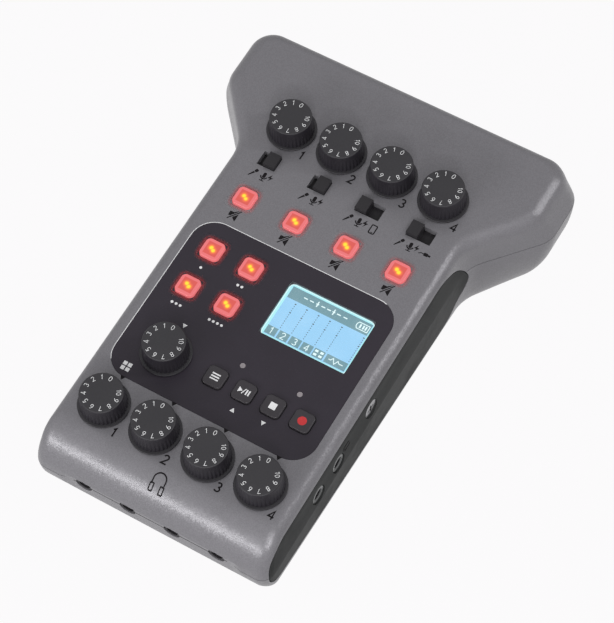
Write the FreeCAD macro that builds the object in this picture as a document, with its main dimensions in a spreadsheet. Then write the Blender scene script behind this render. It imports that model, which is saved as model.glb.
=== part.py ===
import FreeCAD, Part
import math
import os
import re

import Sketcher
from FreeCAD import Vector

# Driving dimensions, in millimetres and degrees. Names that start with panel, top or mid are
# measured on the control face: x to the right, y to the rear, z out of the face.
SIZES = {
    # Control face in the row frame
    "panel_tilt": 6.0,
    "panel_y": -4.59,
    "panel_z": 34.2,
    # Case outline at the control face
    "top_front": -73.0,
    "top_rear": 79.0,
    "top_grip": 37.3,
    "top_head": 51.8,
    "top_waist": 39.6,
    "top_shoulder": 57.5,
    # Case outline on the parting plane
    "mid_front": -73.6,
    "mid_rear": 80.4,
    "mid_grip": 38.6,
    "mid_head": 56.2,
    "mid_waist": 40.4,
    "mid_shoulder": 60.4,
    "parting_depth": 13.3,
    "parting_groove": 0.15,
    "parting_groove_depth": 0.5,
    # Case corners and rounded edges
    "front_corner": 4.0,
    "waist_corner": 14.0,
    "shoulder_corner": 9.0,
    "rear_corner": 7.0,
    "edge_round": 3.5,
    "front_roll": 13.0,
    "least_corner": 0.6,
    "least_round": 0.8,
    "waist_follow": 0.5,
    "shoulder_follow": 0.3,
    "base_side_round": 5.0,
    "base_side_draft": 0.8,
    "base_head_round": 14.0,
    "base_front_round": 8.0,
    "base_front_draft": 3.0,
    "base_rear_round": 3.0,
    "base_waist_follow": 0.45,
    "base_shoulder_follow": 0.25,
    "base_corner_follow": 0.15,
    # Walls and feet
    "wall": 2.2,
    "foot_gap": 0.1,
    "foot_lift": 0.05,
    "foot_height": 1.2,
    "foot_radius": 4.5,
    "foot_seat": 0.7,
    "foot_front_x": 25.0,
    "foot_front_y": -50.0,
    "foot_rear_x": 33.0,
    "foot_rear_y": 61.0,
    # Recess of the phones sockets in the front face
    "recess_half_width": 25.2,
    "recess_face": -72.9,
    "recess_depth": 10.8,
    "recess_round": 14.0,
    "recess_wall": 2.8,
    "recess_wall_low": 9.0,
    "recess_reach": 2.0,
    # Side panels
    "side_panel_thick": 1.1,
    "side_panel_gap": 0.25,
    "side_panel_seat": 1.2,
    "leaf_top": -3.6,
    "leaf_front": -71.4,
    "leaf_rear": 40.0,
    "leaf_low_front": -21.2,
    "leaf_low_rear": -30.4,
    "leaf_nose_run": 9.4,
    "leaf_nose_mid_run": 2.4,
    "leaf_nose_mid_drop": 3.4,
    "leaf_nose_drop": 9.7,
    "leaf_heel_mid_run": 1.9,
    "leaf_heel_mid_rise": 2.3,
    "leaf_heel_run": 7.4,
    "leaf_tail_run": 12.0,
    "leaf_tail_mid_run": 2.7,
    "leaf_tail_mid_rise": 5.8,
    "leaf_tail_rise": 13.4,
    "leaf_crown_mid_run": 4.5,
    "leaf_crown_mid_drop": 4.6,
    "leaf_crown_run": 16.0,
    "leaf_reach": 30.0,
    # Control panel overlay
    "overlay_width": 66.0,
    "overlay_length": 56.2,
    "overlay_y": -15.4,
    "overlay_thick": 1.0,
    "overlay_corner": 7.5,
    "overlay_gap": 0.1,
    # Display
    "display_width": 27.7,
    "display_length": 18.5,
    "display_x": 14.3,
    "display_y": -3.4,
    "window_gap": 0.1,
    "module_border": 0.9,
    "module_gap": 0.3,
    # Knobs and potentiometers
    "knob_pitch": 17.0,
    "gain_y": 50.0,
    "phones_y": -53.6,
    "level_x": -18.8,
    "level_y": -31.5,
    "knob_top_radius": 6.14,
    "knob_base_radius": 7.0,
    "knob_skirt_radius": 7.57,
    "knob_skirt_height": 1.0,
    "knob_top": 7.42,
    "knob_clearance": 0.3,
    "knob_edge": 0.35,
    "flute_radius": 0.35,
    "flute_count": 36,
    "flute_offset": 0.05,
    "shaft_radius": 3.0,
    "shaft_flat": 1.5,
    "shaft_flat_cut": 8.0,
    "shaft_top": 5.9,
    "shaft_foot": -8.4,
    "shaft_fit": 0.04,
    "shaft_hole": 3.5,
    "pot_width": 9.8,
    "pot_top": -3.0,
    "pot_floor": -8.5,
    # Input slide switches
    "switch_shift": -0.3,
    "switch_y": 37.5,
    "switch_cap_width": 3.7,
    "switch_cap_length": 4.7,
    "switch_cap_top": 1.6,
    "switch_gap": 0.15,
    "short_travel": 2.0,
    "long_travel": 4.0,
    "shutter_length": 6.4,
    "shutter_thick": 0.6,
    "shutter_lap": 0.5,
    "shutter_gap": 0.1,
    "switch_stem": 1.8,
    "switch_stem_foot": -9.5,
    "switch_body_length": 4.4,
    "switch_body_top": -8.7,
    "switch_body_wall": 1.8,
    "switch_slot_depth": 1.2,
    # Mute buttons, sound pads and transport buttons
    "button_width": 6.2,
    "button_corner": 1.4,
    "button_top": 0.8,
    "button_edge": 0.35,
    "button_gap": 0.2,
    "button_travel": 0.5,
    "flange_width": 7.4,
    "flange_thick": 0.8,
    "flange_gap": 0.1,
    "stem_width": 1.6,
    "mute_y": 23.0,
    "pad_x": -18.3,
    "pad_y": -3.3,
    "pad_pitch_x": 13.0,
    "pad_pitch_y": 13.5,
    "transport_x": 11.5,
    "transport_y": -31.35,
    "transport_pitch": 9.4,
    "transport_stem_shift": 2.6,
    "tact_width": 4.2,
    "tact_length": 3.2,
    "tact_height": 2.5,
    "plunger_radius": 1.0,
    "plunger_height": 0.6,
    "plunger_gap": 0.15,
    # Status lights
    "light_x": 11.4,
    "light_pitch": 18.6,
    "light_y": -24.3,
    "light_radius": 0.8,
    "light_gap": 0.05,
    "light_foot": -11.9,
    # Circuit boards
    "board_thick": 1.6,
    "main_board_top": -12.3,
    "main_board_half": 30.2,
    "main_board_front": -46.0,
    "main_board_rear": 55.0,
    "phones_board_top": -8.9,
    "phones_board_front": -66.5,
    "phones_board_rear": -48.2,
    "input_board_half": 43.0,
    "input_board_low": 7.0,
    "input_board_high": 29.0,
    "board_hole": 1.1,
    "board_tube_gap": 0.3,
    "board_boss_gap": 0.4,
    "input_board_gap": 0.1,
    # 3.5 mm sockets
    "jack_bore": 1.8,
    "jack_bore_length": 14.0,
    "jack_width": 6.0,
    "jack_height": 5.2,
    "jack_back": 0.5,
    "jack_nose": 2.5,
    "jack_set_back": 0.3,
    "jack_hole_gap": 0.1,
    "phones_jack_pitch": 14.5,
    "phones_jack_z": -13.3,
    "side_jack_nose": 3.0,
    "phone_jack_y": -33.6,
    "line_jack_y": -44.6,
    "side_jack_z": -9.7,
    "side_jack_face": 37.6,
    "side_jack_nose_length": 2.0,
    "side_hole_start": 32.0,
    # Microphone sockets in the rear face
    "xlr_pitch": 25.0,
    "xlr_z": 18.4,
    "xlr_face": 73.4,
    "xlr_length": 19.6,
    "xlr_radius": 11.2,
    "xlr_bore": 9.5,
    "xlr_bore_depth": 16.0,
    "xlr_hole": 9.7,
    "xlr_insert": 7.6,
    "xlr_insert_length": 15.5,
    "xlr_pin_circle": 3.8,
    "xlr_pin_hole": 1.5,
    "xlr_contact": 1.4,
    "xlr_contact_bore": 1.0,
    "xlr_contact_length": 12.0,
    "xlr_contact_set_back": 1.0,
    "xlr_contact_floor": 1.5,
    "xlr_pin_turn": 30.0,
    # Left side: power switch, power and data sockets, card slot
    "power_y": 22.0,
    "power_z": -9.2,
    "power_cap_length": 5.0,
    "power_cap_height": 2.2,
    "power_cap_face": 38.9,
    "power_travel": 2.5,
    "power_cap_back": 35.6,
    "power_stem_front": 36.0,
    "power_stem_back": 32.8,
    "power_body_x": 31.2,
    "power_body_depth": 5.0,
    "power_body_height": 5.5,
    "power_body_spare": 1.5,
    "power_slot_depth": 1.2,
    "usb_front_y": -6.0,
    "usb_rear_y": 8.0,
    "usb_z": -10.4,
    "usb_width": 9.4,
    "usb_height": 3.7,
    "usb_wall": 0.4,
    "usb_depth": 7.6,
    "usb_mouth": 6.0,
    "usb_tongue_width": 6.7,
    "usb_tongue_thick": 0.7,
    "usb_tongue_set_back": 1.2,
    "side_face": 37.0,
    "left_hole_x": 38.0,
    "card_face": 35.4,
    "card_gap": 0.2,
    "card_y": -28.0,
    "card_z": -15.5,
    "card_width": 27.0,
    "card_height": 3.2,
    "card_length": 25.0,
    "card_mouth_width": 24.6,
    "card_mouth_height": 2.4,
    "card_mouth_depth": 22.0,
    # Batteries and their door
    "cell_radius": 7.25,
    "cell_length": 49.5,
    "cell_nub_radius": 2.7,
    "cell_nub": 1.0,
    "cell_pitch": 15.2,
    "bay_y": 4.2,
    "bay_half_length": 27.6,
    "bay_half_width": 15.6,
    "bay_wall": 1.2,
    "bay_top": 17.8,
    "bay_roof": 1.0,
    "contact_thick": 0.4,
    "contact_width": 11.0,
    "contact_reach": 1.7,
    "contact_seat": 0.05,
    "nub_contact_foot": 3.0,
    "nub_contact_top": 1.5,
    "flat_contact_foot": 4.5,
    "flat_contact_top": 2.5,
    "cell_lift": 0.4,
    "bay_foot": 1.0,
    "door_thick": 1.6,
    "door_gap": 0.15,
    "door_edge": 0.4,
    "door_seat_lift": 0.1,
    "door_ridge": 0.3,
    "ridge_length": 14.0,
    "ridge_width": 0.7,
    "ridge_start": 1.5,
    "ridge_pitch": 1.6,
    "door_tab_length": 1.2,
    "door_tab_width": 6.0,
    "door_tab_x": 18.0,
    "door_tab_thick": 0.8,
    "door_tab_gap": 0.3,
    "door_tab_room": 4.0,
    "thumb_radius": 8.0,
    "thumb_set_off": 5.0,
    "thumb_depth": 0.8,
    # Screws and bosses
    "boss_radius": 2.6,
    "boss_tube": 3.6,
    "boss_joint": -14.6,
    "boss_top": -1.6,
    "front_boss_x": 28.5,
    "front_boss_y": -61.9,
    "waist_boss_x": 31.0,
    "waist_boss_y": 30.6,
    "rear_boss_x": 17.0,
    "rear_boss_y": 49.5,
    "screw_seat": -19.6,
    "screw_head_radius": 2.4,
    "screw_head": 1.6,
    "screw_radius": 1.25,
    "screw_length": 11.0,
    "screw_fit": 0.03,
    "screw_clearance": 0.3,
    "screw_tip_gap": 0.4,
    "post_radius": 2.0,
    "post_front_x": 19.5,
    "post_front_y": -43.8,
    "post_rear_x": 17.0,
    "post_rear_y": 30.4,
    "phones_post_x": 14.5,
    "phones_post_y": -63.5,
    "small_screw_radius": 0.8,
    "small_head_radius": 1.6,
    "small_head": 1.1,
    "small_screw_length": 6.5,
    "head_lap": 0.2,
    "pilot_spare": 0.6,
    "side_screw_y": -14.9,
    "side_screw_z": -8.6,
    "side_screw_head": 2.9,
    "side_screw_thick": 0.5,
    "side_screw_face": 37.85,
    "side_screw_length": 5.5,
    "side_screw_seat": 0.02,
    "side_screw_gap": 0.2,
    "side_pilot_floor": 1.5,
    "cross_depth": 0.3,
    "cross_length": 3.2,
    "cross_width": 0.7,
    "side_boss_end": 30.5,
    # Reach of the tools that cut openings
    "short_cut": 4.0,
    "middle_cut": 8.0,
    "side_cut": 12.0,
    "long_cut": 40.0,
}

PANEL = "placement(vector(0; panel_y; panel_z); rotation(vector(1; 0; 0); panel_tilt))"
ROW = "placement(vector(0; 0; 0); rotation(vector(1; 0; 0); 0))"
TURNS = {
    "z": "rotation(vector(0; 0; 1); 0)",
    "-z": "rotation(vector(1; 0; 0); 180)",
    "x": "rotation(vector(0; 1; 0); 90)",
    "-x": "rotation(vector(0; 1; 0); -90)",
    "y": "rotation(vector(1; 0; 0); -90)",
    "-y": "rotation(vector(1; 0; 0); 90)",
}
SIDES = (-1, 1)
COLUMNS = (-1.5, -0.5, 0.5, 1.5)

doc = FreeCAD.newDocument("podcast_recorder")
dims = doc.addObject("Spreadsheet::Sheet", "dims")
pieces = []


def fill_sheet():
    """Writes every driving dimension into the sheet under its own name."""
    for row, (name, value) in enumerate(SIZES.items(), start=1):
        dims.set(f"A{row}", name)
        dims.set(f"B{row}", str(value))
        dims.setAlias(f"B{row}", name)
    doc.recompute()


def bound(text):
    """Turns a formula in plain size names into one that reads the sheet."""
    return re.sub(r"[a-z_]+", lambda m: f"dims.{m[0]}" if m[0] in SIZES else m[0], str(text))


def bind(item, **sizes):
    """Binds properties of an object to formulas of the sheet."""
    for name, formula in sizes.items():
        item.setExpression(name, bound(formula))
    return item


def place(item, at=("0", "0", "0"), turn="z", on=PANEL):
    """Puts an object at a point of the control face or of the row frame, with its z axis turned."""
    x, y, z = at
    return bind(item, Placement=f"{on} * placement(vector({x}; {y}; {z}); {TURNS[turn]})")


def piece(item, label):
    """Names a finished piece, which becomes a file of its own."""
    item.Label = label
    pieces.append(item)
    return item


# Plain solids


def box(size, at, on=PANEL):
    """A box centred on x and y of its point, standing on its z."""
    length, width, height = size
    item = doc.addObject("Part::Box", "Box")
    bind(item, Length=length, Width=width, Height=height)
    x, y, z = at
    return place(item, (f"{x} - ({length}) / 2", f"{y} - ({width}) / 2", z), on=on)


def rod(radius, height, at, turn="z", on=PANEL):
    """A cylinder that starts at its point and runs along the named axis."""
    item = doc.addObject("Part::Cylinder", "Rod")
    bind(item, Radius=radius, Height=height)
    return place(item, at, turn, on)


def cone(foot_radius, top_radius, height, at, turn="z", on=PANEL):
    """A cone that starts at its point with the first radius."""
    item = doc.addObject("Part::Cone", "Cone")
    bind(item, Radius1=foot_radius, Radius2=top_radius, Height=height)
    return place(item, at, turn, on)


def join(items):
    """Fuses solids that meet into one."""
    item = doc.addObject("Part::MultiFuse", "Join")
    item.Shapes = items
    return item


def group(items):
    """Keeps separate solids side by side in one object."""
    item = doc.addObject("Part::Compound", "Group")
    item.Links = items
    return item


def cut(base, *tools):
    """Takes each tool from the base in turn."""
    for tool in tools:
        item = doc.addObject("Part::Cut", "Cut")
        item.Base = base
        item.Tool = tool
        base = item
    return base


def common(first, second):
    """What two solids share."""
    item = doc.addObject("Part::Common", "Common")
    item.Base = first
    item.Tool = second
    return item


def solid_feature(name, shape):
    """A solid whose form comes from a formula."""
    item = doc.addObject("Part::Feature", name)
    item.Shape = shape
    return item


# Sketched bodies


def new_body():
    """An empty body with its own origin planes."""
    return doc.addObject("PartDesign::Body", "Body")


def new_sketch(body, plane="XY_Plane", lift="0"):
    """A sketch on one of the body's own planes, lifted along the plane's normal."""
    sketch = body.newObject("Sketcher::SketchObject", "Sketch")
    support = [part for part in body.Origin.OriginFeatures if part.Role == plane][0]
    sketch.AttachmentSupport = [(support, "")]
    sketch.MapMode = "FlatFace"
    sketch.setExpression(".AttachmentOffset.Base.z", bound(lift))
    return sketch


def name_size(sketch, constraint, name, formula):
    """Adds a dimension to a sketch and binds it to the sheet."""
    index = sketch.addConstraint(constraint)
    sketch.renameConstraint(index, name)
    sketch.setExpression(f"Constraints.{name}", bound(formula))


def draw_rectangle(sketch, width, length):
    """A rectangle centred on the sketch's origin."""
    corners = [Vector(-1, -1, 0), Vector(1, -1, 0), Vector(1, 1, 0), Vector(-1, 1, 0)]
    for start, end in zip(corners, corners[1:] + corners[:1]):
        sketch.addGeometry(Part.LineSegment(start, end), False)
    for side in range(4):
        sketch.addConstraint(Sketcher.Constraint("Coincident", side, 2, (side + 1) % 4, 1))
    for side in (0, 2):
        sketch.addConstraint(Sketcher.Constraint("Horizontal", side))
    for side in (1, 3):
        sketch.addConstraint(Sketcher.Constraint("Vertical", side))
    sketch.addConstraint(Sketcher.Constraint("Symmetric", 0, 1, 1, 2, -1, 1))
    name_size(sketch, Sketcher.Constraint("DistanceX", 0, 1, 0, 2, 2.0), "width", width)
    name_size(sketch, Sketcher.Constraint("DistanceY", 1, 1, 1, 2, 2.0), "length", length)


def draw_circle(sketch, radius, distance="0"):
    """A circle at a distance from the origin along the sketch's x axis."""
    sketch.addGeometry(Part.Circle(Vector(9, 0, 0), Vector(0, 0, 1), 1), False)
    sketch.addConstraint(Sketcher.Constraint("PointOnObject", 0, 3, -1))
    name_size(sketch, Sketcher.Constraint("DistanceX", -1, 1, 0, 3, 9.0), "distance", distance)
    name_size(sketch, Sketcher.Constraint("Radius", 0, 1.0), "radius", radius)


def draw_profile(sketch, points):
    """A closed profile through points given as pairs of formulas."""
    doc.recompute()
    corners = [Vector(i + 1, 3 * math.sin(2 * i), 0) for i in range(len(points))]
    for start, end in zip(corners, corners[1:] + corners[:1]):
        sketch.addGeometry(Part.LineSegment(start, end), False)
    count = len(points)
    for i, (across, up) in enumerate(points):
        sketch.addConstraint(Sketcher.Constraint("Coincident", i - 1 if i else count - 1, 2, i, 1))
        name_size(sketch, Sketcher.Constraint("DistanceX", -1, 1, i, 1, 1.0), f"across{i}", across)
        name_size(sketch, Sketcher.Constraint("DistanceY", -1, 1, i, 1, 1.0), f"up{i}", up)


def pad(body, sketch, length):
    """Raises a sketch by a length."""
    item = body.newObject("PartDesign::Pad", "Pad")
    item.Profile = sketch
    return bind(item, Length=length)


def upright_edges(shape):
    """Names of the straight edges along the body's z axis."""
    names = []
    for index, edge in enumerate(shape.Edges, start=1):
        if edge.Curve.TypeId == "Part::GeomLine" and abs(edge.Curve.Direction.z) > 0.999:
            names.append(f"Edge{index}")
    return names


def rim_edges(shape, height):
    """Names of the edges that lie at one height."""
    names = []
    for index, edge in enumerate(shape.Edges, start=1):
        bounds = edge.BoundBox
        if abs(bounds.ZMin - height) < 0.001 and abs(bounds.ZMax - height) < 0.001:
            names.append(f"Edge{index}")
    return names


def round_edges(body, feature, names, radius):
    """Rounds the named edges of a feature."""
    item = body.newObject("PartDesign::Fillet", "Round")
    item.Base = (feature, names)
    return bind(item, Radius=radius)


def rounded_block(width, length, height, corner, at, on=PANEL, edge=None):
    """A block with rounded upright corners and, if asked, a rounded top edge."""
    body = new_body()
    sketch = new_sketch(body)
    draw_rectangle(sketch, width, length)
    raised = pad(body, sketch, height)
    doc.recompute()
    feature = round_edges(body, raised, upright_edges(raised.Shape), corner)
    if edge:
        doc.recompute()
        top = feature.Shape.BoundBox.ZMax
        round_edges(body, feature, rim_edges(feature.Shape, top), edge)
    return place(body, at, on=on)


# Case form: outlines on sloping planes, skinned into smooth shells


def mix(start, end, share):
    """A value between two others."""
    return start + (end - start) * share


def quarter(reach, share):
    """How far a quarter round still stands back after a share of its height."""
    left = 1 - min(max(share, 0.0), 1.0)
    return reach * (1 - math.sqrt(1 - left * left))


def inset_polygon(points, distance):
    """Moves every side of a counter-clockwise polygon inwards."""
    moved = []
    for i, point in enumerate(points):
        before = (point - points[i - 1]).normalize()
        after = (points[(i + 1) % len(points)] - point).normalize()
        first = Vector(-before.y, before.x, 0)
        second = Vector(-after.y, after.x, 0)
        moved.append(point + (first + second) * (distance / (1 + first.dot(second))))
    return moved


def rounded_wire(points, radii):
    """A closed wire through the corners of a polygon, each rounded to its own radius."""
    arcs = []
    for i, point in enumerate(points):
        back = (points[i - 1] - point).normalize()
        ahead = (points[(i + 1) % len(points)] - point).normalize()
        half = math.acos(back.dot(ahead)) / 2
        middle = (back + ahead).normalize() * (radii[i] / math.sin(half) - radii[i])
        tangent = radii[i] / math.tan(half)
        arcs.append((point + back * tangent, point + middle, point + ahead * tangent))
    edges = []
    for i, (start, middle, end) in enumerate(arcs):
        edges.append(Part.Arc(start, middle, end).toShape())
        edges.append(Part.LineSegment(end, arcs[(i + 1) % len(arcs)][0]).toShape())
    return Part.Wire(edges)


def case_wire(plan, corners, inset, origin, tilt):
    """The T-shaped outline of the case on one plane."""
    points = [
        Vector(-plan["grip"], plan["front"], 0),
        Vector(plan["grip"], plan["front"], 0),
        Vector(plan["grip"], plan["waist"], 0),
        Vector(plan["head"], plan["shoulder"], 0),
        Vector(plan["head"], plan["rear"], 0),
        Vector(-plan["head"], plan["rear"], 0),
        Vector(-plan["head"], plan["shoulder"], 0),
        Vector(-plan["grip"], plan["waist"], 0),
    ]
    front, waist, shoulder, rear = corners
    convex = [max(radius - inset, dims.least_corner) for radius in (front, shoulder, rear)]
    radii = [convex[0], convex[0], waist + inset, convex[1], convex[2]]
    radii += [convex[2], convex[1], waist + inset]
    wire = rounded_wire(inset_polygon(points, inset), radii)
    wire.Placement = FreeCAD.Placement(origin, FreeCAD.Rotation(Vector(1, 0, 0), tilt))
    return wire


def plan_at(share):
    """The outline's sizes at a share of the way from the control face to the parting plane."""
    names = ("front", "rear", "grip", "head", "waist", "shoulder")
    ends = [(getattr(dims, f"top_{name}"), getattr(dims, f"mid_{name}")) for name in names]
    return {name: mix(top, mid, share) for name, (top, mid) in zip(names, ends)}


def below_panel(depth):
    """The point of the row frame under the control face's origin at a depth."""
    tilt = math.radians(dims.panel_tilt)
    return Vector(0, dims.panel_y + depth * math.sin(tilt), dims.panel_z - depth * math.cos(tilt))


def case_corners(loss=0.0):
    """The plan radii of the case's corners, less a loss on the convex ones."""
    return (
        dims.front_corner - loss,
        dims.waist_corner + loss,
        dims.shoulder_corner - loss,
        dims.rear_corner - loss,
    )


def upper_wire(depth, inset):
    """Outline of the upper case at a depth under the control face."""
    below = depth - inset
    edge = max(dims.edge_round - inset, dims.least_round)
    stand_back = quarter(edge, below / edge)
    plan = plan_at(depth / dims.parting_depth)
    roll = quarter(dims.front_roll - inset, below / (dims.parting_depth - inset))
    plan["front"] += roll
    plan["rear"] -= stand_back
    plan["grip"] -= stand_back
    plan["head"] -= stand_back
    plan["waist"] += dims.waist_follow * stand_back
    plan["shoulder"] += dims.shoulder_follow * stand_back
    corners = case_corners(min(stand_back, dims.front_corner - dims.least_corner))
    return case_wire(plan, corners, inset, below_panel(depth), dims.panel_tilt)


def skin(wires, ruled=False):
    """A solid through a stack of outlines."""
    return Part.makeLoft(wires, True, ruled, False, 2)


def upper_hull(inset, end):
    """The upper case as a full solid, inset from its outer face, down to a depth."""
    edge = max(dims.edge_round - inset, dims.least_round)
    steps = [inset + edge * (1 - math.cos(math.radians(angle))) for angle in (0, 22.5, 45, 67.5, 90)]
    last = steps[-1]
    steps += [mix(last, end, share) for share in (0.3, 0.65, 1.0)]
    return skin([upper_wire(depth, inset) for depth in steps])


def lower_wire(share, inset, depth):
    """Outline of the lower case at a share of the way up from its base to a depth."""
    top = below_panel(depth)
    floor = dims.foot_height + inset
    rise = share * (top.z - floor)
    side_round = max(dims.base_side_round - inset, dims.least_round)
    rear_round = max(dims.base_rear_round - inset, dims.least_round)
    head_back = quarter(dims.base_head_round, share)
    side_back = quarter(side_round, rise / side_round)
    front_back = quarter(dims.base_front_round, share)
    plan = plan_at(1.0)
    plan["front"] += front_back + (1 - share) * dims.base_front_draft
    plan["rear"] -= quarter(rear_round, rise / (2 * rear_round))
    plan["grip"] -= side_back + (1 - share) * dims.base_side_draft
    plan["head"] -= head_back
    plan["waist"] += dims.base_waist_follow * head_back
    plan["shoulder"] += dims.base_shoulder_follow * head_back
    corners = case_corners(dims.base_corner_follow * head_back)
    origin = Vector(0, mix(dims.panel_y, top.y, share), floor + rise)
    return case_wire(plan, corners, inset, origin, dims.panel_tilt * share)


def lower_hull(inset, depth):
    """The lower case as a full solid, inset from its outer face, up to a depth."""
    shares = (0.0, 0.02, 0.07, 0.15, 0.27, 0.42, 0.6, 0.8, 1.0)
    return skin([lower_wire(share, inset, depth) for share in shares])


def rim(end):
    """The band between the parting plane and another depth, drawn in to leave a groove."""
    inset = dims.parting_groove_depth
    ends = [
        case_wire(plan_at(1.0), case_corners(), inset, below_panel(depth), dims.panel_tilt)
        for depth in (dims.parting_depth, end)
    ]
    return skin(ends, ruled=True)


def case_form(inset):
    """The whole case as one full solid, inset from its outer face."""
    depth = dims.parting_depth
    return upper_hull(inset, depth).fuse(lower_hull(inset, depth))


def leaf_outline(gap):
    """The side panel's outline seen from the side, grown by a gap."""
    top = dims.leaf_top
    front = dims.leaf_front
    rear = dims.leaf_rear
    low = dims.leaf_low_rear
    points = [
        Vector(0, front + dims.leaf_nose_run, top),
        Vector(0, front + dims.leaf_nose_mid_run, top - dims.leaf_nose_mid_drop),
        Vector(0, front, top - dims.leaf_nose_drop),
        Vector(0, front + dims.leaf_heel_mid_run, dims.leaf_low_front + dims.leaf_heel_mid_rise),
        Vector(0, front + dims.leaf_heel_run, dims.leaf_low_front),
        Vector(0, rear - dims.leaf_tail_run, low),
        Vector(0, rear - dims.leaf_tail_mid_run, low + dims.leaf_tail_mid_rise),
        Vector(0, rear, low + dims.leaf_tail_rise),
        Vector(0, rear - dims.leaf_crown_mid_run, top - dims.leaf_crown_mid_drop),
        Vector(0, rear - dims.leaf_crown_run, top),
    ]
    edges = [
        Part.Arc(points[0], points[1], points[2]).toShape(),
        Part.Arc(points[2], points[3], points[4]).toShape(),
        Part.LineSegment(points[4], points[5]).toShape(),
        Part.Arc(points[5], points[6], points[7]).toShape(),
        Part.Arc(points[7], points[8], points[9]).toShape(),
        Part.LineSegment(points[9], points[0]).toShape(),
    ]
    wire = Part.Wire(edges)
    return wire.makeOffset2D(gap) if gap else wire


def leaf_prism(side, gap):
    """The side panel's outline run out through the case's side."""
    reach = Vector(side * dims.leaf_reach, 0, 0)
    prism = Part.Face(leaf_outline(gap)).extrude(reach)
    prism.translate(reach)
    prism.Placement = panel_placement() * prism.Placement
    return prism


def panel_placement():
    """The control face's placement in the row frame."""
    return FreeCAD.Placement(below_panel(0), FreeCAD.Rotation(Vector(1, 0, 0), dims.panel_tilt))


def mirrored(points):
    """Each point and its mirror image across the middle plane."""
    return [(f"{side} * {x}", y, z) for x, y, z in points for side in SIDES]


# Places that several pieces share

GAINS = [(f"{k} * knob_pitch", "gain_y", "0") for k in COLUMNS]
PHONES = [(f"{k} * knob_pitch", "phones_y", "0") for k in COLUMNS]
LEVEL = [("level_x", "level_y", "0")]
MUTES = [(f"{k} * knob_pitch", "mute_y", "0") for k in COLUMNS]
PADS = [
    (f"pad_x + {i} * pad_pitch_x", f"pad_y + {j} * pad_pitch_y", "0")
    for j in (0.5, -0.5)
    for i in (-0.5, 0.5)
]
TRANSPORT = [(f"transport_x + {k} * transport_pitch", "transport_y", "0") for k in COLUMNS]
LIGHTS = [(f"light_x + {k} * light_pitch", "light_y", "0") for k in (-0.5, 0.5)]
SWITCHES = [(f"switch_shift + {k} * knob_pitch", "switch_y", "0") for k in COLUMNS]
TRAVELS = ["short_travel", "short_travel", "long_travel", "long_travel"]
STARTS = [0.5, 0.5, -0.5, -0.5]
CASE_BOSSES = mirrored(
    [
        ("front_boss_x", "front_boss_y", "0"),
        ("waist_boss_x", "waist_boss_y", "0"),
        ("rear_boss_x", "rear_boss_y", "0"),
    ]
)
MAIN_POSTS = mirrored([("post_front_x", "post_front_y", "0"), ("post_rear_x", "post_rear_y", "0")])
PHONES_POSTS = mirrored([("phones_post_x", "phones_post_y", "0")])
PHONES_JACKS = [f"{k} * phones_jack_pitch" for k in COLUMNS]
SIDE_JACKS = ["phone_jack_y", "line_jack_y"]
USB_PORTS = ["usb_front_y", "usb_rear_y"]
XLR_COLUMNS = [f"{k} * xlr_pitch" for k in COLUMNS]


def raise_to(point, height):
    """The same place at another height over the control face."""
    return (point[0], point[1], height)


# Holes that go through both halves of the case or through a panel


def phones_jack_holes():
    """Round holes of the phones sockets in the front face."""
    start = "recess_face + middle_cut / 2"
    return [
        rod("jack_nose + jack_hole_gap", "middle_cut", (x, start, "phones_jack_z"), "-y") for x in PHONES_JACKS
    ]


def front_recess():
    """The shallow recess that the phones plugs seat in: a flat face that runs out in two arcs."""
    return rounded_block(
        "2 * (recess_half_width + recess_round)",
        "2 * recess_round + recess_reach",
        "long_cut",
        "recess_round",
        ("0", "recess_face - recess_round - recess_reach / 2", "-recess_depth - long_cut"),
    )


def recess_wall(foot, top):
    """The wall behind the recess between two heights, which the phones sockets stand against."""
    return box(
        ("2 * recess_half_width", "recess_wall", f"({top}) - ({foot})"),
        ("0", "recess_face + recess_wall / 2", foot),
    )


def side_jack_holes():
    """Round holes of the two sockets in the right side."""
    return [
        rod("side_jack_nose + jack_hole_gap", "side_cut", ("side_hole_start", y, "side_jack_z"), "x")
        for y in SIDE_JACKS
    ]


def left_side_holes():
    """Mouths of the power switch, the power and data sockets and the card slot."""
    slot = box(
        ("side_cut", "power_cap_length + power_travel + 2 * switch_gap", "power_cap_height + 2 * switch_gap"),
        ("-left_hole_x", "power_y + power_travel / 2", "power_z - power_cap_height / 2 - switch_gap"),
    )
    ports = [
        box(
            ("side_cut", "usb_width + 2 * jack_hole_gap", "usb_height + 2 * jack_hole_gap"),
            ("-left_hole_x", y, "usb_z - usb_height / 2 - jack_hole_gap"),
        )
        for y in USB_PORTS
    ]
    card = box(
        ("side_cut", "card_mouth_width + 2 * card_gap", "card_mouth_height + 2 * card_gap"),
        ("-left_hole_x", "card_y", "card_z - card_mouth_height / 2 - card_gap"),
    )
    return [slot, *ports, card]


def xlr_holes():
    """Round holes of the microphone sockets in the rear face."""
    return [rod("xlr_hole", "side_cut", (x, "xlr_face - short_cut", "xlr_z"), "y", ROW) for x in XLR_COLUMNS]


def leaf_recess(side):
    """The seat of a side panel, cut into the case's side."""
    floor = case_form(dims.side_panel_seat)
    return solid_feature("Leaf_recess", leaf_prism(side, dims.side_panel_gap).cut(floor))


def button_holes(places, depth):
    """Square holes with rounded corners for buttons."""
    side = "button_width + 2 * button_gap"
    corner = "button_corner + button_gap"
    return [rounded_block(side, side, depth, corner, raise_to(p, f"-({depth}) / 2")) for p in places]


# Case


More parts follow.
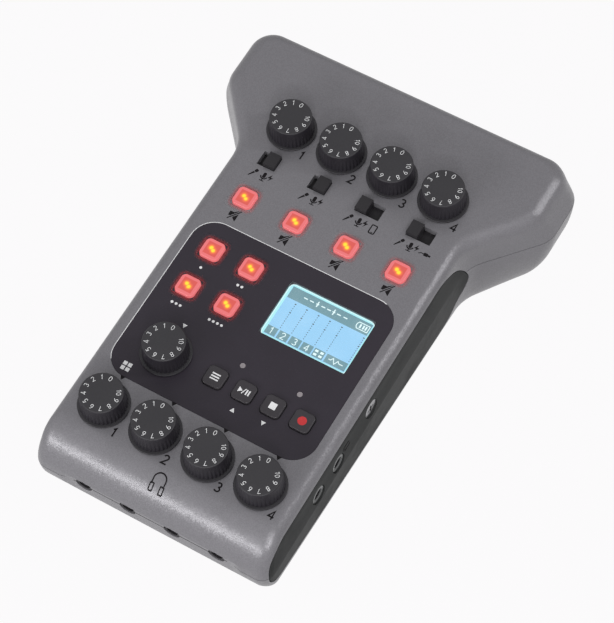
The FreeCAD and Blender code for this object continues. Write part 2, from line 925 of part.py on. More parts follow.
def upper_case(recesses):
    """Top shell with its posts and bosses and every opening of the control face."""
    depth = dims.parting_depth
    groove = dims.parting_groove
    outer = upper_hull(0.0, depth - groove).fuse(rim(depth - groove))
    shell = solid_feature("Upper_shell", outer.cut(upper_hull(dims.wall, depth)))
    bosses = [rod("boss_radius", "boss_top - boss_joint", raise_to(p, "boss_joint")) for p in CASE_BOSSES]
    boards = [(p, "main_board_top") for p in MAIN_POSTS] + [(p, "phones_board_top") for p in PHONES_POSTS]
    posts = [rod("post_radius", f"boss_top - {top}", raise_to(p, top)) for p, top in boards]
    side_boss = rod(
        "boss_radius",
        "mid_grip - wall / 2 - side_boss_end",
        ("side_boss_end", "side_screw_y", "side_screw_z"),
        "x",
    )
    front = recess_wall("-parting_depth", "-recess_depth")
    body = join([shell, front, *bosses, *posts, side_boss])
    reach = "screw_seat + screw_length - boss_joint + screw_tip_gap"
    pilots = [rod("screw_radius + screw_fit", reach, raise_to(p, "boss_joint")) for p in CASE_BOSSES]
    small_reach = "small_screw_length - board_thick + pilot_spare"
    pilots += [rod("small_screw_radius + screw_fit", small_reach, raise_to(p, top)) for p, top in boards]
    start = ("side_boss_end + side_pilot_floor", "side_screw_y", "side_screw_z")
    pilots.append(rod("screw_radius + screw_fit", "side_cut", start, "x"))
    shafts = [rod("shaft_hole", "middle_cut", raise_to(p, "-middle_cut / 2")) for p in GAINS + PHONES + LEVEL]
    seat = rounded_block(
        "overlay_width + 2 * overlay_gap",
        "overlay_length + 2 * overlay_gap",
        "short_cut",
        "overlay_corner + overlay_gap",
        ("0", "overlay_y", "-overlay_thick"),
    )
    module = box(
        (
            "display_width + 2 * (module_border + module_gap)",
            "display_length + 2 * (module_border + module_gap)",
            "middle_cut",
        ),
        ("display_x", "display_y", "-middle_cut / 2"),
    )
    slots = [
        box(
            (
                f"switch_cap_width + {travel} + 2 * switch_gap",
                "switch_cap_length + 2 * switch_gap",
                "middle_cut",
            ),
            raise_to(p, "-middle_cut / 2"),
        )
        for p, travel in zip(SWITCHES, TRAVELS)
    ]
    lights = [rod("light_radius + light_gap", "middle_cut", raise_to(p, "-middle_cut / 2")) for p in LIGHTS]
    buttons = button_holes(MUTES + PADS + TRANSPORT, "middle_cut")
    left = left_side_holes()[:3]
    holes = shafts + slots + lights + buttons + phones_jack_holes() + side_jack_holes() + left
    result = cut(body, group(pilots), front_recess(), seat, *recesses, module, join(holes))
    return piece(result, "upper_case")


def foot_places():
    """Centres of the four feet in the row frame."""
    return mirrored([("foot_front_x", "foot_front_y", "0"), ("foot_rear_x", "foot_rear_y", "0")])


def lower_case(recesses):
    """Bottom shell with the battery bay, the screw bosses and the seats of feet and door."""
    depth = dims.parting_depth
    groove = dims.parting_groove
    outer = lower_hull(0.0, depth + groove).fuse(rim(depth + groove))
    outer_form = solid_feature("Lower_form", outer)
    shell = solid_feature("Lower_shell", outer.cut(lower_hull(dims.wall, depth)))
    tubes = [rod("boss_tube", "long_cut", raise_to(p, "boss_joint - long_cut")) for p in CASE_BOSSES]
    front = recess_wall("-parting_depth - recess_wall_low", "-parting_depth")
    bosses = common(group([*tubes, front]), outer_form)
    bay = box(
        (
            "2 * (bay_half_length + bay_wall)",
            "2 * (bay_half_width + bay_wall)",
            "bay_top + bay_roof - foot_height - bay_foot",
        ),
        ("0", "bay_y", "foot_height + bay_foot"),
        ROW,
    )
    body = join([shell, bosses, bay])
    inside = box(
        ("2 * bay_half_length", "2 * bay_half_width", "bay_top + bay_foot"), ("0", "bay_y", "-bay_foot"), ROW
    )
    door_seat = box(
        (
            "2 * (bay_half_length + bay_wall + door_gap)",
            "2 * (bay_half_width + bay_wall + door_gap)",
            "bay_foot + foot_height + door_thick + door_seat_lift",
        ),
        ("0", "bay_y", "-bay_foot"),
        ROW,
    )
    tab_slots = [
        box(
            ("door_tab_width + 2 * door_tab_gap", "2 * (door_tab_length + door_tab_gap)", "door_tab_room"),
            (f"{side} * door_tab_x", "bay_y + bay_half_width + bay_wall", "foot_height + door_edge"),
            ROW,
        )
        for side in SIDES
    ]
    thumb = rod(
        "thumb_radius",
        "foot_height + thumb_depth",
        ("0", "bay_y - bay_half_width - bay_wall - thumb_set_off", "0"),
        on=ROW,
    )
    feet = [rod("foot_radius + foot_gap", "foot_height + foot_seat", p, on=ROW) for p in foot_places()]
    bores = [
        rod("screw_radius + screw_clearance", "middle_cut", raise_to(p, "screw_seat - screw_head"))
        for p in CASE_BOSSES
    ]
    heads = [
        rod("screw_head_radius + screw_clearance", "long_cut", raise_to(p, "screw_seat - long_cut"))
        for p in CASE_BOSSES
    ]
    holes = join([inside, door_seat, *tab_slots, thumb, *bores, *heads, *feet])
    mouths = group([*phones_jack_holes(), *xlr_holes(), left_side_holes()[3]])
    result = cut(body, holes, front_recess(), *recesses, mouths)
    return piece(result, "lower_case")


def side_panel(side, label, tools):
    """A thin inlay that follows the case's side."""
    leaf = leaf_prism(side, 0.0)
    skin_part = leaf.common(case_form(0.0)).cut(case_form(dims.side_panel_thick))
    return piece(cut(solid_feature("Leaf", skin_part), *tools), label)


def rubber_feet():
    """Four round feet let into the base."""
    feet = [rod("foot_radius", "foot_height + foot_seat - foot_lift", p, on=ROW) for p in foot_places()]
    return piece(group(feet), "rubber_feet")


# Control face


def control_panel():
    """Dark overlay plate with the openings of the display, pads, buttons and lights."""
    at = ("0", "overlay_y", "-overlay_thick")
    plate = rounded_block("overlay_width", "overlay_length", "overlay_thick", "overlay_corner", at)
    display = box(
        ("display_width + 2 * window_gap", "display_length + 2 * window_gap", "short_cut"),
        ("display_x", "display_y", "-short_cut / 2"),
    )
    lights = [rod("light_radius + light_gap", "short_cut", raise_to(p, "-short_cut / 2")) for p in LIGHTS]
    shaft = rod("shaft_hole", "short_cut", raise_to(LEVEL[0], "-short_cut / 2"))
    holes = group([display, shaft, *lights, *button_holes(PADS + TRANSPORT, "short_cut")])
    return piece(cut(plate, holes), "control_panel")


def display():
    """Clear window in the overlay and the display module that stands under it."""
    window = box(
        ("display_width", "display_length", "overlay_thick"), ("display_x", "display_y", "-overlay_thick")
    )
    piece(window, "display_window")
    module = box(
        (
            "display_width + 2 * module_border",
            "display_length + 2 * module_border",
            "-main_board_top - overlay_thick - window_gap",
        ),
        ("display_x", "display_y", "main_board_top"),
    )
    piece(module, "display_module")


def status_lights():
    """Two light pipes from the overlay down to the main board."""
    pipes = [rod("light_radius", "-light_foot", raise_to(p, "light_foot")) for p in LIGHTS]
    return piece(group(pipes), "status_lights")


# Knobs


def knob_cap(at, label):
    """A tapered knob with a skirt, grip flutes and a D-shaped bore for its shaft."""
    body = new_body()
    profile = new_sketch(body, "XZ_Plane")
    draw_profile(
        profile,
        [
            ("0", "knob_clearance"),
            ("knob_skirt_radius", "knob_clearance"),
            ("knob_skirt_radius", "knob_clearance + knob_skirt_height"),
            ("knob_base_radius", "knob_clearance + knob_skirt_height"),
            ("knob_top_radius + knob_edge / 2", "knob_top - knob_edge"),
            ("knob_top_radius - knob_edge / 2", "knob_top"),
            ("0", "knob_top"),
        ],
    )
    turned = body.newObject("PartDesign::Revolution", "Turned")
    turned.Profile = profile
    turned.ReferenceAxis = (profile, ["V_Axis"])
    turned.Angle = 360
    flute_sketch = new_sketch(body, lift="knob_clearance + knob_skirt_height")
    draw_circle(flute_sketch, "flute_radius", "knob_base_radius + flute_offset")
    flute = body.newObject("PartDesign::Pocket", "Flute")
    flute.Profile = flute_sketch
    flute.Reversed = True
    bind(flute, Length="knob_top")
    flutes = body.newObject("PartDesign::PolarPattern", "Flutes")
    flutes.Originals = [flute]
    flutes.Axis = (flute_sketch, ["N_Axis"])
    flutes.Angle = 360
    bind(flutes, Occurrences="flute_count")
    body.Tip = flutes
    place(body, at)
    bore = shaft_form(at, "shaft_fit", "0", "shaft_top + shaft_fit")
    return piece(cut(body, bore), label)


def shaft_form(at, fit, foot, top):
    """A shaft with one flat, grown by a fit all round."""
    round_part = rod(f"shaft_radius + {fit}", f"({top}) - ({foot})", raise_to(at, foot))
    flat = box(
        ("shaft_flat_cut", "shaft_flat_cut", "shaft_flat_cut"),
        (f"{at[0]} + shaft_flat + {fit} + shaft_flat_cut / 2", at[1], "0"),
    )
    return cut(round_part, flat)


def knob(at, name):
    """A knob and the potentiometer shaft that it is pressed on."""
    knob_cap(at, f"{name[0]}_knob{name[1]}")
    piece(shaft_form(at, "0", "shaft_foot", "shaft_top"), f"{name[0]}_shaft{name[1]}")


def potentiometer_bodies():
    """Nine square potentiometer bodies, standing on the boards."""
    bodies = []
    for places, board in ((GAINS + LEVEL, "main_board_top"), (PHONES, "phones_board_top")):
        for at in places:
            block = box(("pot_width", "pot_width", f"pot_top - {board}"), raise_to(at, board))
            bore = rod("shaft_radius + shaft_fit", "middle_cut", raise_to(at, "pot_floor"))
            bodies.append(cut(block, bore))
    return piece(group(bodies), "potentiometer_bodies")


# Buttons


def button(at, label, shift="0"):
    """A square cap with a retaining flange and a stem, set back by a shift, over its tact switch."""
    body = new_body()
    cap_sketch = new_sketch(body, lift="-wall - flange_gap")
    draw_rectangle(cap_sketch, "button_width", "button_width")
    cap = pad(body, cap_sketch, "button_top + wall + flange_gap")
    doc.recompute()
    sides = round_edges(body, cap, upright_edges(cap.Shape), "button_corner")
    doc.recompute()
    round_edges(body, sides, rim_edges(sides.Shape, dims.button_top), "button_edge")
    flange_sketch = new_sketch(body, lift="-wall - flange_gap - flange_thick")
    draw_rectangle(flange_sketch, "flange_width", "flange_width")
    pad(body, flange_sketch, "flange_thick")
    foot = "main_board_top + tact_height + plunger_height + button_travel + plunger_gap"
    stem_sketch = new_sketch(body, lift=foot)
    stem_sketch.setExpression(".AttachmentOffset.Base.y", bound(shift))
    draw_rectangle(stem_sketch, "stem_width", "stem_width")
    pad(body, stem_sketch, f"-wall - flange_gap - flange_thick - ({foot})")
    return piece(place(body, at), label)


def tact_switches():
    """Twelve tact switches on the main board, one under each button."""
    switches = []
    shifted = [(x, f"{y} + transport_stem_shift", z) for x, y, z in TRANSPORT]
    for at in MUTES + PADS + shifted:
        base = box(("tact_width", "tact_length", "tact_height"), raise_to(at, "main_board_top"))
        plunger = rod("plunger_radius", "tact_height + plunger_height", raise_to(at, "main_board_top"))
        switches.append(join([base, plunger]))
    return piece(group(switches), "tact_switches")


# Slide switches


def input_switch(at, travel, start, label):
    """A slider cap with the shutter that covers its slot and the stem down to its switch."""
    x = f"{at[0]} + {start} * {travel}"
    foot = "-wall - shutter_gap - shutter_thick / 2"
    cap = box(("switch_cap_width", "switch_cap_length", f"switch_cap_top - ({foot})"), (x, at[1], foot))
    shutter = box(
        (f"switch_cap_width + 2 * {travel} + 2 * shutter_lap", "shutter_length", "shutter_thick"),
        (x, at[1], "-wall - shutter_gap - shutter_thick"),
    )
    stem = box(("switch_stem", "switch_stem", "-wall - switch_stem_foot"), (x, at[1], "switch_stem_foot"))
    return piece(join([cap, shutter, stem]), label)


def slide_switch_bodies():
    """Four input switch bodies and the power switch body."""
    bodies = []
    for at, travel in zip(SWITCHES, TRAVELS):
        block = box(
            (
                f"switch_stem + {travel} + 2 * switch_body_wall",
                "switch_body_length",
                "switch_body_top - main_board_top",
            ),
            raise_to(at, "main_board_top"),
        )
        slot = box(
            (f"switch_stem + {travel} + 2 * switch_gap", "switch_stem + 2 * switch_gap", "short_cut"),
            raise_to(at, "switch_body_top - switch_slot_depth"),
        )
        bodies.append(cut(block, slot))
    middle = "power_y + power_travel / 2"
    block = box(
        ("power_body_depth", "power_cap_length + power_travel + power_body_spare", "power_body_height"),
        ("-power_body_x", middle, "main_board_top"),
    )
    slot = box(
        (
            "2 * power_slot_depth",
            "switch_stem + power_travel + 2 * switch_gap",
            "switch_stem + 2 * switch_gap",
        ),
        ("-power_body_x - power_body_depth / 2", middle, "power_z - switch_stem / 2 - switch_gap"),
    )
    bodies.append(cut(block, slot))
    return piece(group(bodies), "slide_switch_bodies")


def power_switch():
    """The slider of the power switch on the left side."""
    cap = box(
        ("power_cap_face - power_cap_back", "power_cap_length", "power_cap_height"),
        ("-(power_cap_face + power_cap_back) / 2", "power_y", "power_z - power_cap_height / 2"),
    )
    stem = box(
        ("power_stem_front - power_stem_back", "switch_stem", "switch_stem"),
        ("-(power_stem_front + power_stem_back) / 2", "power_y", "power_z - switch_stem / 2"),
    )
    return piece(join([cap, stem]), "power_switch")


# Boards


def board_plate(front, rear, top):
    """A flat board across the grip."""
    return box(
        ("2 * main_board_half", f"{rear} - {front}", "board_thick"),
        ("0", f"({front} + {rear}) / 2", f"{top} - board_thick"),
    )


def boards():
    """Main board, and the two smaller boards of the phones section and the microphone inputs."""
    low = "main_board_top - short_cut"
    bosses = [rod("boss_tube + board_tube_gap", "middle_cut", raise_to(p, low)) for p in CASE_BOSSES]
    screws = [rod("board_hole", "middle_cut", raise_to(p, low)) for p in MAIN_POSTS]
    plate = board_plate("main_board_front", "main_board_rear", "main_board_top")
    piece(cut(plate, group(bosses + screws)), "main_board")
    low = "phones_board_top - short_cut"
    notches = [rod("boss_radius + board_boss_gap", "middle_cut", raise_to(p, low)) for p in CASE_BOSSES[:2]]
    screws = [rod("board_hole", "middle_cut", raise_to(p, low)) for p in PHONES_POSTS]
    plate = board_plate("phones_board_front", "phones_board_rear", "phones_board_top")
    phones = cut(plate, group(notches + screws))
    inputs = box(
        ("2 * input_board_half", "board_thick", "input_board_high - input_board_low"),
        ("0", "xlr_face - xlr_length - input_board_gap - board_thick / 2", "input_board_low"),
        ROW,
    )
    return piece(group([phones, inputs]), "small_boards")


# Sockets


def jack(block, face, turn, nose_radius, nose_length):
    """A 3.5 mm socket: a block with a round nose and a bore that starts at the nose's face."""
    nose = rod(nose_radius, f"{nose_length} + jack_back", face, turn)
    bore = rod("jack_bore", "jack_bore_length", face, turn)
    return cut(join([block, nose]), bore)


def jack_sockets():
    """Four phones sockets in the front face and two in the right side."""
    sockets = []
    length = "jack_bore_length + jack_back"
    nose = "recess_wall - jack_set_back"
    for x in PHONES_JACKS:
        deep = f"{length} - ({nose})"
        block = box(
            ("jack_width", deep, "jack_height"),
            (x, f"recess_face + recess_wall + ({deep}) / 2", "phones_jack_z - jack_height / 2"),
        )
        face = (x, "recess_face + jack_set_back", "phones_jack_z")
        sockets.append(jack(block, face, "y", "jack_nose", nose))
    for y in SIDE_JACKS:
        deep = f"{length} - side_jack_nose_length"
        block = box(
            (deep, "jack_width", "jack_height"),
            (
                f"side_jack_face - side_jack_nose_length - ({deep}) / 2",
                y,
                "main_board_top",
            ),
        )
        face = ("side_jack_face", y, "side_jack_z")
        sockets.append(jack(block, face, "-x", "side_jack_nose", "side_jack_nose_length"))
    return piece(group(sockets), "jack_sockets")


def xlr_sockets():
    """Microphone sockets: round housings, inserts with three holes and their contacts."""
    housings = []
    inserts = []
    contacts = []
    back = "xlr_face - xlr_length"
    for x in XLR_COLUMNS:
        shell = rod("xlr_radius", "xlr_length", (x, back, "xlr_z"), "y", ROW)
        bore = rod("xlr_bore", "xlr_length", (x, "xlr_face - xlr_bore_depth", "xlr_z"), "y", ROW)
        housings.append(cut(shell, bore))
        seat = "xlr_face - xlr_bore_depth"
        core = rod("xlr_insert", "xlr_insert_length", (x, seat, "xlr_z"), "y", ROW)
        holes = []
        for third in range(3):
            angle = f"(xlr_pin_turn + {120 * third}) * 1 deg"
            across = f"{x} + xlr_pin_circle * cos({angle})"
            up = f"xlr_z + xlr_pin_circle * sin({angle})"
            start = f"{seat} + xlr_insert_length - xlr_contact_length - xlr_contact_set_back"
            holes.append(rod("xlr_pin_hole", "xlr_insert_length", (across, start, up), "y", ROW))
            tube = rod("xlr_contact", "xlr_contact_length", (across, start, up), "y", ROW)
            mouth = (across, f"{start} + xlr_contact_floor", up)
            inner = rod("xlr_contact_bore", "xlr_contact_length", mouth, "y", ROW)
            contacts.append(cut(tube, inner))
        inserts.append(cut(core, group(holes)))
    piece(group(housings), "microphone_sockets")
    piece(group(inserts), "microphone_inserts")
    piece(group(contacts), "microphone_contacts")


def usb_sockets():
    """Two power and data sockets with their tongues on the left side."""
    sockets = []
    for y in USB_PORTS:
        x = "-side_face + usb_depth / 2"
        shell = box(("usb_depth", "usb_width", "usb_height"), (x, y, "usb_z - usb_height / 2"))
        mouth = box(
            ("usb_mouth", "usb_width - 2 * usb_wall", "usb_height - 2 * usb_wall"),
            ("-side_face + usb_mouth / 2", y, "usb_z - usb_height / 2 + usb_wall"),
        )
        tongue = box(
            ("usb_depth - usb_tongue_set_back", "usb_tongue_width", "usb_tongue_thick"),
            ("-side_face + (usb_depth + usb_tongue_set_back) / 2", y, "usb_z - usb_tongue_thick / 2"),
        )
        sockets.append(join([cut(shell, mouth), tongue]))
    return piece(group(sockets), "usb_sockets")


def card_slot():
    """Memory card slot under the main board, open to the left side."""
    front = "-card_face"
    block = box(
        ("card_length", "card_width", "card_height"),
        (f"{front} + card_length / 2", "card_y", "card_z - card_height / 2"),
    )
    mouth = box(
        ("2 * card_mouth_depth", "card_mouth_width", "card_mouth_height"),
        (front, "card_y", "card_z - card_mouth_height / 2"),
    )
    return piece(cut(block, mouth), "card_slot")


# Batteries


CELL_Z = "foot_height + door_thick + cell_lift + cell_radius"


def battery_rows():
    """Middle of each cell, and which way its nub points."""
    return [("bay_y - cell_pitch / 2", 1), ("bay_y + cell_pitch / 2", -1)]


def batteries():
    """Two AA cells side by side, head to tail."""
    cells = []
    for y, way in battery_rows():
        turn = "x" if way > 0 else "-x"
        start = f"{-way} * (cell_length + cell_nub) / 2"
        can = rod("cell_radius", "cell_length", (start, y, CELL_Z), turn, ROW)
        nub = rod("cell_nub_radius", "cell_length + cell_nub", (start, y, CELL_Z), turn, ROW)
        cells.append(join([can, nub]))
    return piece(group(cells), "batteries")


def battery_contacts():
    """Flat contacts with a dome at each nub and a cone at each flat end."""
    contacts = []
    for y, way in battery_rows():
        for end in SIDES:
            turn = "-x" if end > 0 else "x"
            face = f"{end} * (bay_half_length - contact_seat)"
            plate = box(
                ("contact_thick", "contact_width", "contact_width"),
                (f"{face} - {end} * contact_thick / 2", y, f"{CELL_Z} - contact_width / 2"),
                ROW,
            )
            ends = ("nub_contact_foot", "nub_contact_top")
            if end != way:
                ends = ("flat_contact_foot", "flat_contact_top")
            bump = cone(*ends, "contact_thick + contact_reach", (face, y, CELL_Z), turn, ROW)
            contacts.append(join([plate, bump]))
    return piece(group(contacts), "battery_contacts")


def battery_door():
    """Flat door in the base, with a rounded hinge edge, two tabs at its rear and grip ridges."""
    length = "2 * (bay_half_length + bay_wall)"
    edge = "bay_y + bay_half_width + bay_wall"
    plate = box((length, "2 * (bay_half_width + bay_wall)", "door_thick"), ("0", "bay_y", "foot_height"), ROW)
    corner = box((length, "door_edge", "door_edge"), ("0", f"{edge} - door_edge / 2", "foot_height"), ROW)
    hinge = ("-(bay_half_length + bay_wall)", f"{edge} - door_edge", "foot_height + door_edge")
    bead = rod("door_edge", length, hinge, "x", ROW)
    tabs = [
        box(
            ("door_tab_width", "door_tab_length + door_edge", "door_tab_thick"),
            (
                f"{side} * door_tab_x",
                f"{edge} + (door_tab_length - door_edge) / 2",
                "foot_height + door_thick - door_tab_thick",
            ),
            ROW,
        )
        for side in SIDES
    ]
    ridges = [
        box(
            ("ridge_length", "ridge_width", "door_ridge + door_edge"),
            ("0", f"bay_y - bay_half_width + ridge_start + {i} * ridge_pitch", "foot_height - door_ridge"),
            ROW,
        )
        for i in range(4)
    ]
    return piece(join([cut(plate, corner), bead, *tabs, *ridges]), "battery_door")


# Fasteners


def screws():
    """Six case screws, six board screws and the screw of the right side panel."""
    made = []
    for p in CASE_BOSSES:
        shank = rod("screw_radius", "screw_length", raise_to(p, "screw_seat - head_lap"))
        head = rod("screw_head_radius", "screw_head", raise_to(p, "screw_seat - screw_head"))
        made.append(join([shank, head]))
    for places, top in ((MAIN_POSTS, "main_board_top"), (PHONES_POSTS, "phones_board_top")):
        for p in places:
            seat = f"{top} - board_thick"
            shank = rod("small_screw_radius", "small_screw_length", raise_to(p, f"{seat} - head_lap"))
            head = rod("small_head_radius", "small_head", raise_to(p, f"{seat} - small_head"))
            made.append(join([shank, head]))
    y = "side_screw_y"
    z = "side_screw_z"
    shank = rod("screw_radius", "side_screw_length", ("side_screw_face", y, z), "-x")
    head = rod("side_screw_head", "side_screw_thick", ("side_screw_face", y, z), "-x")
    bars = (("cross_length", "cross_width"), ("cross_width", "cross_length"))
    cross = [
        box(("2 * cross_depth", wide, tall), ("side_screw_face", y, f"{z} - {tall} / 2"))
        for wide, tall in bars
    ]
    made.append(cut(join([shank, head]), join(cross)))
    return piece(group(made), "screws")


def side_screw_holes():
    """Seat of the side screw in the right side panel."""
    y = "side_screw_y"
    z = "side_screw_z"
    seat = "side_screw_face - side_screw_thick - side_screw_seat"
    head = rod("side_screw_head + side_screw_gap", "middle_cut", (seat, y, z), "x")
    bore = rod("screw_radius + screw_clearance", "middle_cut", ("side_screw_face - middle_cut", y, z), "x")
    return join([head, bore])


def build():
    """Builds every piece of the recorder."""
    fill_sheet()
    recesses = [leaf_recess(side) for side in SIDES]
    upper_case(recesses)
    lower_case(recesses)
    side_panel(1, "right_side_panel", [group(side_jack_holes()), side_screw_holes()])
    side_panel(-1, "left_side_panel", [group(left_side_holes())])
    rubber_feet()
    control_panel()
    display()
    status_lights()
    for number, at in enumerate(GAINS, start=1):
        knob(at, ("gain", f"_{number}"))
    for number, at in enumerate(PHONES, start=1):
        knob(at, ("phones", f"_{number}"))
    knob(LEVEL[0], ("pad_level", ""))
    potentiometer_bodies()
    for number, at in enumerate(MUTES, start=1):
        button(at, f"mute_button_{number}")
    for number, at in enumerate(PADS, start=1):
        button(at, f"sound_pad_{number}")
    for name, at in zip(("menu", "play", "stop", "record"), TRANSPORT):
        button(at, f"{name}_button", "transport_stem_shift")
    tact_switches()
    for number, (at, travel, start) in enumerate(zip(SWITCHES, TRAVELS, STARTS), start=1):
        input_switch(at, travel, start, f"input_switch_{number}")
    slide_switch_bodies()
    power_switch()
    boards()
    jack_sockets()
    xlr_sockets()
    usb_sockets()
    card_slot()
    batteries()
    battery_contacts()
    battery_door()
    screws()
    doc.recompute()


def check():
    """Stops if any object failed or any piece has no sound shape."""
    for item in doc.Objects:
        if "Invalid" in item.State or "Error" in item.State:
            raise RuntimeError(f"{item.Name} ({item.Label}) is {item.State}")
    for item in pieces:
        if item.Shape.isNull() or not item.Shape.isValid():
            raise RuntimeError(f"{item.Label} has no valid shape")


def export():
    """Writes each piece to a file of its own."""
    os.makedirs("parts", exist_ok=True)
    for item in pieces:
        item.Shape.exportStep(f"parts/{item.Label}.step")
        print(item.Label, len(item.Shape.Solids), round(item.Shape.Volume, 1))


build()
check()
export()
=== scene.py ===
"""Looks of a hand-sized podcast recorder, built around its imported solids."""

import logging
import math
from collections.abc import Sequence
from dataclasses import dataclass
from enum import Enum
from functools import cache

import bpy
import numpy as np
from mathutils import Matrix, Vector


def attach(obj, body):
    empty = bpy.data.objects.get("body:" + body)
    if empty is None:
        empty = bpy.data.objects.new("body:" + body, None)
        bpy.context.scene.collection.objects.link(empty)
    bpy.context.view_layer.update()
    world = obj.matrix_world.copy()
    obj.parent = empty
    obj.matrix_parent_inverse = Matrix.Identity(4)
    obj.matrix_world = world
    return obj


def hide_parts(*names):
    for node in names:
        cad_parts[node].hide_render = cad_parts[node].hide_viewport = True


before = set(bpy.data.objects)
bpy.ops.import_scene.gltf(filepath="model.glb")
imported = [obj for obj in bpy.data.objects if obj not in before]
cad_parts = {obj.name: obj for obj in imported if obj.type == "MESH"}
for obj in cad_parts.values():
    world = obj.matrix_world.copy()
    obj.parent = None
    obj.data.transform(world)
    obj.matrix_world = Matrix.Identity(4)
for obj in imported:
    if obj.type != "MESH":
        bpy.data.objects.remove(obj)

MM = 0.001
CASE = "case"
LOG = logging.getLogger("podcast_recorder")
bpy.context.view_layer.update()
COLUMNS = (-25.5, -8.5, 8.5, 25.5)
SHARP_EDGE = 35.0

# What counts as nothing: an area or sum, a length, a flat area, a share; and steps per metre
TINY = 1e-18
SHORTEST = 1e-12
SLIVER = 1e-9
SLACK = 1e-6
KEY_STEPS = 1e6

Colour = tuple[float, float, float]


# Places on the control face


@dataclass(frozen=True)
class ControlFace:
    """The sloping control face: x to the right, y to the rear, z out of the face, in millimetres."""

    tilt: float = 6.0
    row_y: float = -4.59
    row_z: float = 34.2

    def slope(self) -> tuple[float, float]:
        """Cosine and sine of the tilt."""
        return math.cos(math.radians(self.tilt)), math.sin(math.radians(self.tilt))

    def place(self, points: np.ndarray) -> np.ndarray:
        """Turns points of the face into points of the row frame.

        Formula: the point is turned by the tilt about x and moved to the face's origin.

        Args:
            points: Rows of x, y and z on the face, in millimetres.

        Returns:
            Rows of x, y and z in the row frame, in metres.
        """
        cos, sin = self.slope()
        x, y, z = np.asarray(points, float).T
        return np.stack([x, self.row_y + y * cos - z * sin, self.row_z + y * sin + z * cos], axis=1) * MM

    def read(self, points: np.ndarray) -> np.ndarray:
        """Undoes place().

        Args:
            points: Rows of x, y and z in the row frame, in metres.

        Returns:
            Rows of x, y and z on the face, in millimetres.
        """
        cos, sin = self.slope()
        x, back, up = np.asarray(points, float).T / MM
        back, up = back - self.row_y, up - self.row_z
        return np.stack([x, back * cos + up * sin, up * cos - back * sin], axis=1)


FACE = ControlFace()


# Shapes as plain arrays


@dataclass
class Shape:
    """A surface: points in millimetres, arrays of faces with equal corner counts, and point UVs."""

    points: np.ndarray
    faces: list[np.ndarray]
    uv: np.ndarray | None = None

    def at(self, points: np.ndarray) -> "Shape":
        """The same faces on other points."""
        return Shape(points, self.faces, self.uv)

    def shifted(self, x: float = 0.0, y: float = 0.0, z: float = 0.0) -> "Shape":
        """The same shape moved by x, y and z."""
        return self.at(self.points + np.array([x, y, z]))

    def turned(self, degrees: float) -> "Shape":
        """The same shape turned about z, counter-clockwise seen from above."""
        cos, sin = math.cos(math.radians(degrees)), math.sin(math.radians(degrees))
        return self.at(self.points @ np.array([[cos, sin, 0.0], [-sin, cos, 0.0], [0.0, 0.0, 1.0]]))

    def scaled(self, share: float) -> "Shape":
        """The same shape with x and y multiplied by a share."""
        return self.at(self.points * np.array([share, share, 1.0]))

    def sideways(self) -> "Shape":
        """The same shape set up on the right side: x and y become y and z, and z becomes x."""
        return self.at(self.points[:, [2, 0, 1]])


def joined(shapes: Sequence[Shape]) -> Shape:
    """Puts several shapes without UVs into one.

    Args:
        shapes: The shapes, without UVs.

    Returns:
        One shape with all points and faces.
    """
    starts = np.cumsum([0] + [len(s.points) for s in shapes[:-1]])
    faces = [block + start for s, start in zip(shapes, starts) for block in s.faces]
    return Shape(np.concatenate([s.points for s in shapes]), faces)


def skin_rings(rings: np.ndarray) -> Shape:
    """A closed skin over a stack of closed rings.

    Formula: point (i, j) is corner j of ring i; each cell of the grid is one four-sided face, and the
    first and last ring are each closed by triangles to their own mean point.

    Args:
        rings: Array of rings by corners by 3; corners run counter-clockwise seen from the last ring.

    Returns:
        The closed shape.
    """
    rows, count = rings.shape[:2]
    index = np.arange(rows * count).reshape(rows, count)
    ahead = np.roll(index, -1, axis=1)
    quads = np.stack([index[:-1], ahead[:-1], ahead[1:], index[1:]], axis=2).reshape(-1, 4)
    low = np.full(count, rows * count)
    foot = np.stack([low, ahead[0], index[0]], axis=1)
    head = np.stack([low + 1, index[-1], ahead[-1]], axis=1)
    ends = np.stack([rings[0].mean(axis=0), rings[-1].mean(axis=0)])
    return Shape(np.concatenate([rings.reshape(-1, 3), ends]), [quads, np.concatenate([foot, head])])


def skin_loop(grid: np.ndarray) -> Shape:
    """A closed skin whose rings run round into the first one again, as on a hoop.

    Formula: point (i, j) is corner j of ring i; each cell of the grid, which wraps round both ways,
    is one four-sided face.

    Args:
        grid: Array of rings by corners by 3.

    Returns:
        The closed shape.
    """
    index = np.arange(grid.shape[0] * grid.shape[1]).reshape(grid.shape[:2])
    ahead, along = np.roll(index, -1, axis=0), np.roll(index, -1, axis=1)
    quads = np.stack([index, ahead, np.roll(ahead, -1, axis=1), along], axis=2)
    return Shape(grid.reshape(-1, 3), [quads.reshape(-1, 4)])


def prism(outline: np.ndarray, low: float, high: float) -> Shape:
    """A flat plate with a given outline.

    Formula: the outline is repeated at the low and the high z; both ends are single faces.

    Args:
        outline: Rows of x and y, counter-clockwise.
        low: Height of the underside.
        high: Height of the top.

    Returns:
        The closed shape.
    """
    count = len(outline)
    ends = [np.column_stack([outline, np.full(count, z)]) for z in (low, high)]
    index = np.arange(count)
    ahead = np.roll(index, -1)
    sides = np.stack([index, ahead, ahead + count, index + count], axis=1)
    return Shape(np.concatenate(ends), [sides, index[None, ::-1], index[None, :] + count])


